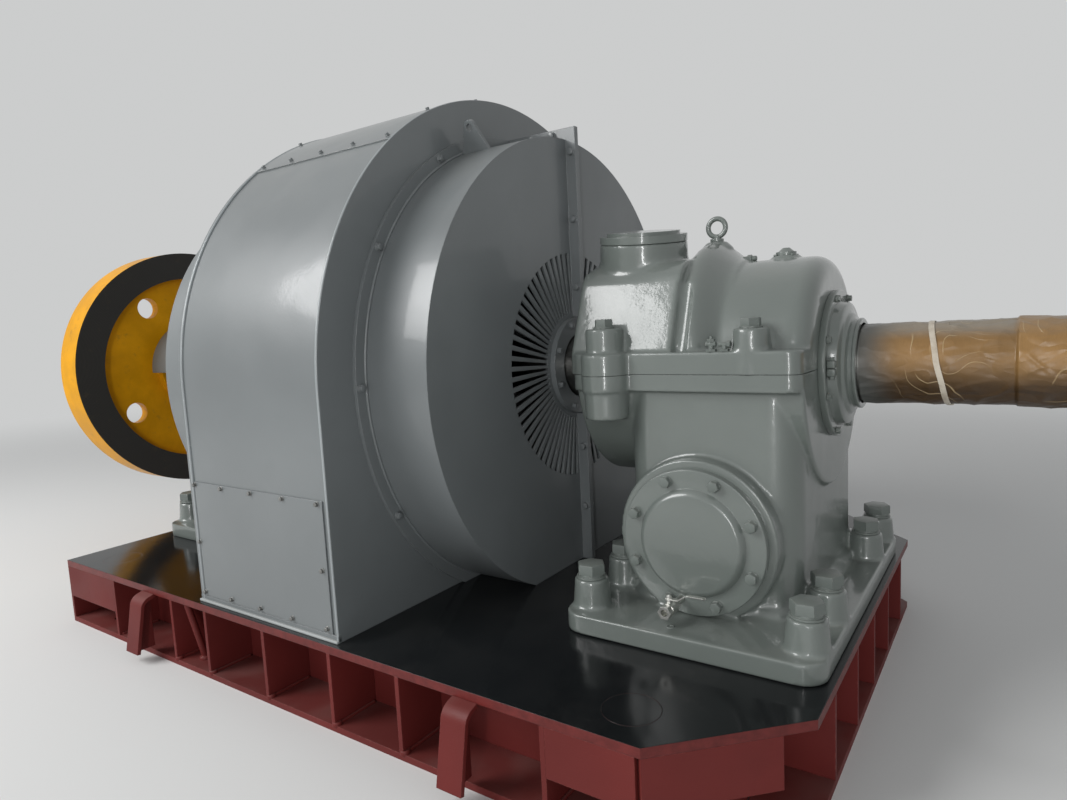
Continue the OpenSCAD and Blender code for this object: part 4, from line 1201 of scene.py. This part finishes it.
def drain_handle():
    """The bent handle of the drain valve, on its spindle with a nut."""
    low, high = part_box("drain_lever")
    seat = Vector((low.x + 0.014, (low.y + high.y) / 2, low.z))
    reach = high.x - seat.x
    strap = ribbon(
        [(0.010, 0.003), (-0.012, 0.003), (-0.030, 0.003), (-0.046, 0.014), (-0.056, 0.021),
         (-0.068, 0.0235), (0.004 - reach, 0.0235), (-reach, 0.0200)], 0.017, 0.0032)

    def tip_corner(a, b):
        upright = abs(a.x - b.x) < 1e-4 and abs(a.z - b.z) > 0.001
        return upright and max(a.y, b.y) < 0.002 - reach

    select_edges(strap, tip_corner)
    bpy.ops.mesh.bevel(offset=0.006, segments=4, affect="EDGES")
    object_mode()
    nut = hexagon_bolt(0.015, 0.007, 0.011, 0.0015, 0.004)
    nut.location.z = 0.0045
    hub = cylinder(Vector(), 0.012, 0.004, UP, 24, 0.001)
    return set_out(join([strap, nut, hub]), [(seat, UP, -90)])


class GENERATOR_OT_fittings(bpy.types.Operator):
    """Model the small fittings on the bearing cap and the handle of the drain valve"""
    bl_idname = "generator.fittings"
    bl_label = "Fittings"

    def execute(self, context):
        finish_piece(flange_fittings(), "flange_fittings", "bolt")
        finish_piece(crown_plug(), "crown_plug", "bolt")
        bolts("vent_screws", "bolt", (0.011, 0.006), vent_screw_places())
        finish_piece(drain_ring(), "foot_drain_ring", "casting")
        finish_piece(drain_handle(), "drain_lever_handle", "nickel", 30,
                     ("drain_lever",), "drain_lever")
        return {"FINISHED"}


LAP_FOLDS = ((0.150, 0.9, 0.0030), (0.205, 0.35, 0.0026), (0.235, -0.55, 0.0024),
             (-0.120, 0.6, 0.0028), (-0.250, -0.4, 0.0026))


def paper_lap(x, angle):
    """How far the second layer stands out past the overlap: a lapped flap and a fan of folds."""
    if x <= LAP_X:
        return 0.0
    layer = 0.0032 + (0.0016 if -1.2 < angle < 2.05 else 0.0)
    run, girth = x - LAP_X, angle * 0.127
    for start, slope, height in LAP_FOLDS:
        off = girth - start - slope * run
        layer += height * math.exp(-(off / 0.007) ** 2) * min(1.0, run / 0.02)
    return layer


def paper_reach(at, out, crease):
    """How far the paper stands off at a point: crumples, a spiral and the second layer, flat by the tie."""
    angle = math.atan2(-out.y, out.z)
    far = Vector((at.x * 5.0, out.y * 0.9, out.z * 0.9))
    crumple = 1 - abs(noise.noise(far * 1.7 + Vector((SEED, 0, 0)))) * 2.2
    fine = 1 - abs(noise.noise(Vector((at.x * 17, out.y * 2.6, out.z * 2.6)))) * 2.0
    spiral = abs(noise.noise(Vector((at.x * 9 + angle * 1.4, angle * 0.5, 3.0))))
    lift = crease * (0.55 * max(0, crumple) ** 3 + 0.25 * max(0, fine) ** 3 + 0.35 * spiral)
    near_tie = math.exp(-((at.x + TAPE_LEAN * (at.z - SHAFT_Z) - TIE_X) / 0.02) ** 2)
    return min(0.0112, 0.0012 + lift * (1 - 0.8 * near_tie) + paper_lap(at.x, angle))


def paper_wrap(segments, crease):
    low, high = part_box("shaft_wrap")
    start, rings = low.x - 0.004, 120
    wrap = turned([(start + (high.x - start) * k / rings, 0.1275) for k in range(rings + 1)], segments)
    for v in wrap.data.vertices:
        at = v.co.copy()
        out = Vector((0, at.y, at.z - SHAFT_Z)).normalized()
        v.co = Vector((at.x, 0, SHAFT_Z)) + out * (PAPER_R + paper_reach(at, out, crease))
    apply_modifier(wrap, "SOLIDIFY", thickness=0.0009, offset=-1.0)
    return wrap


def tie_tape(segments):
    """A leaning tape with its knot below."""
    ends, inner, outer = (TIE_X - 0.008, TIE_X + 0.008), 0.1290, 0.1312
    strip = turned(
        [(ends[0], inner), (ends[0], outer), (ends[1], outer), (ends[1], inner)], segments, closed=True)
    for v in strip.data.vertices:
        v.co.x -= TAPE_LEAN * (v.co.z - SHAFT_Z) - 0.0010 * math.sin(54 * v.co.z)
    knot = cylinder(KNOT_SPOT, 0.011, 0.008, -UP, 12, 0.003)
    return join([strip, knot])


class GENERATOR_OT_wrapping(bpy.types.Operator):
    """Wrap the shaft extension in creased waxed paper, tied with a tape"""
    bl_idname = "generator.wrapping"
    bl_label = "Shaft wrapping"

    def execute(self, context):
        s = context.scene.generator.wrap
        finish_piece(paper_wrap(s.segments, s.crease), "paper_wrap", "paper", 50,
                     ("shaft_wrap",), "rotor")
        finish_piece(tie_tape(s.segments), "tie_tape", "tape", 50, ("wrap_strap",), "rotor")
        return {"FINISHED"}


# Stage


BACKGROUND = (0.86, 0.87, 0.87, 1)


def studio_floor(s):
    """A pale floor, which is seen in the colour of the background far out."""
    bpy.ops.mesh.primitive_plane_add(size=160, location=(0, 0, 0))
    floor = bpy.context.object
    floor.name = "studio_floor"
    m = Finish("studio_floor")
    floor.data.materials.append(m.done(Base_Color=rgba(s.floor), Roughness=0.9))
    reach = m.node("VectorMath", {0: m.at}, operation="LENGTH").outputs["Value"]
    glow = m.node("Emission", {"Color": BACKGROUND, "Strength": s.backdrop})
    m.feed(m.out, "Surface", m.either(m.times(m.seen(), m.ramp(reach, 4.0, 13.0)), m.surface, glow))


def surround(s):
    """Even light from all around, which is seen as a pale background."""
    world = bpy.data.worlds.new("surround")
    world.use_nodes = True
    bpy.context.scene.world = world
    m = Shader(world.node_tree)
    even = m.node("Background", {"Color": (0.96, 0.98, 1.0, 1), "Strength": s.surround})
    pale = m.node("Background", {"Color": BACKGROUND, "Strength": s.backdrop})
    m.node("OutputWorld", {"Surface": m.either(m.seen(), even, pale)})


def area_lamp(name, place, target, size, power, height=0.0):
    """A round lamp, or an upright strip where a height is given."""
    lamp = bpy.data.lights.new(name, "AREA")
    lamp.shape = "RECTANGLE" if height else "DISK"
    lamp.size = size
    if height:
        lamp.size_y = height
    lamp.energy = power
    obj = bpy.data.objects.new(name, lamp)
    obj.location = place
    obj.rotation_euler = (Vector(target) - Vector(place)).to_track_quat("-Z", "Y").to_euler()
    bpy.context.collection.objects.link(obj)


def camera():
    """The camera stands where the solved view of the photo puts it."""
    lens = bpy.data.cameras.new("camera")
    lens.lens = 24.17
    lens.sensor_width = 36
    lens.clip_start = 0.05
    lens.clip_end = 300
    eye = bpy.data.objects.new("camera", lens)
    right = Vector((0.82298899, 0.56580256, -0.0505627))
    up = Vector((-0.02270184, 0.12169811, 0.99230751))
    back = Vector((0.56760352, -0.81551029, 0.11300096))
    turn = Matrix((right, up, back)).transposed()
    eye.matrix_world = Matrix.Translation((2.0825, -2.5657, 1.3312)) @ turn.to_4x4()
    bpy.context.collection.objects.link(eye)
    bpy.context.scene.camera = eye


class GENERATOR_OT_stage(bpy.types.Operator):
    """Lay a pale floor, hang soft lamps and stand the camera at its place"""
    bl_idname = "generator.stage"
    bl_label = "Stage"

    def execute(self, context):
        s = context.scene.generator.stage
        deselect_all()
        studio_floor(s)
        surround(s)
        area_lamp("key", (-4.6, -6.0, 5.4), (-0.4, 0, 1.0), 5.0, s.key_power)
        area_lamp("front_soft", (3.0, -7.5, 3.2), (0.8, 0, 0.9), 3.5, 0.8 * s.fill_power)
        area_lamp("strip", (3.5, -6.4, 1.8), (1.2, 0, 1.0), 0.4, 1.6 * s.fill_power, 3.4)
        camera()
        context.scene.view_settings.view_transform = "Standard"
        return {"FINISHED"}


# Add-on


class GeneratorSettings(bpy.types.PropertyGroup):
    paint: PointerProperty(name="Paint", description="Colours and finish", type=PaintSettings)
    fasteners: PointerProperty(
        name="Fasteners", description="Sizes of bolts and screws", type=FastenerSettings)
    wrap: PointerProperty(name="Wrapping", description="Paper on the shaft", type=WrapSettings)
    casting: PointerProperty(
        name="Castings", description="How the castings are rounded", type=CastingSettings)
    stage: PointerProperty(name="Stage", description="Floor and light", type=StageSettings)


STEPS = (
    GENERATOR_OT_stage, GENERATOR_OT_paint_frame, GENERATOR_OT_castings, GENERATOR_OT_side_covers,
    GENERATOR_OT_end_covers, GENERATOR_OT_hold_down_bolts, GENERATOR_OT_housing_screws,
    GENERATOR_OT_shroud_bolts, GENERATOR_OT_weld_beads, GENERATOR_OT_base_welds,
    GENERATOR_OT_base_brackets, GENERATOR_OT_fittings, GENERATOR_OT_wrapping,
)


class GENERATOR_PT_panel(bpy.types.Panel):
    bl_idname = "GENERATOR_PT_panel"
    bl_label = "Generator"
    bl_space_type = "VIEW_3D"
    bl_region_type = "UI"
    bl_category = "Generator"

    def draw(self, context):
        settings = context.scene.generator
        for group in (settings.paint, settings.fasteners, settings.wrap, settings.casting, settings.stage):
            box = self.layout.box()
            for name in group.bl_rna.properties.keys():
                if name not in ("rna_type", "name"):
                    box.prop(group, name)
        for step in STEPS:
            self.layout.operator(step.bl_idname)


CLASSES = (
    PaintSettings, FastenerSettings, WrapSettings, CastingSettings, StageSettings, GeneratorSettings,
) + STEPS + (GENERATOR_PT_panel,)


def register():
    for c in CLASSES:
        bpy.utils.register_class(c)
    bpy.types.Scene.generator = PointerProperty(type=GeneratorSettings)


def unregister():
    del bpy.types.Scene.generator
    for c in reversed(CLASSES):
        bpy.utils.unregister_class(c)


def main():
    register()
    deselect_all()
    for step in STEPS:
        group, name = step.bl_idname.split(".")
        getattr(getattr(bpy.ops, group), name)()


if __name__ == "__main__":
    main()
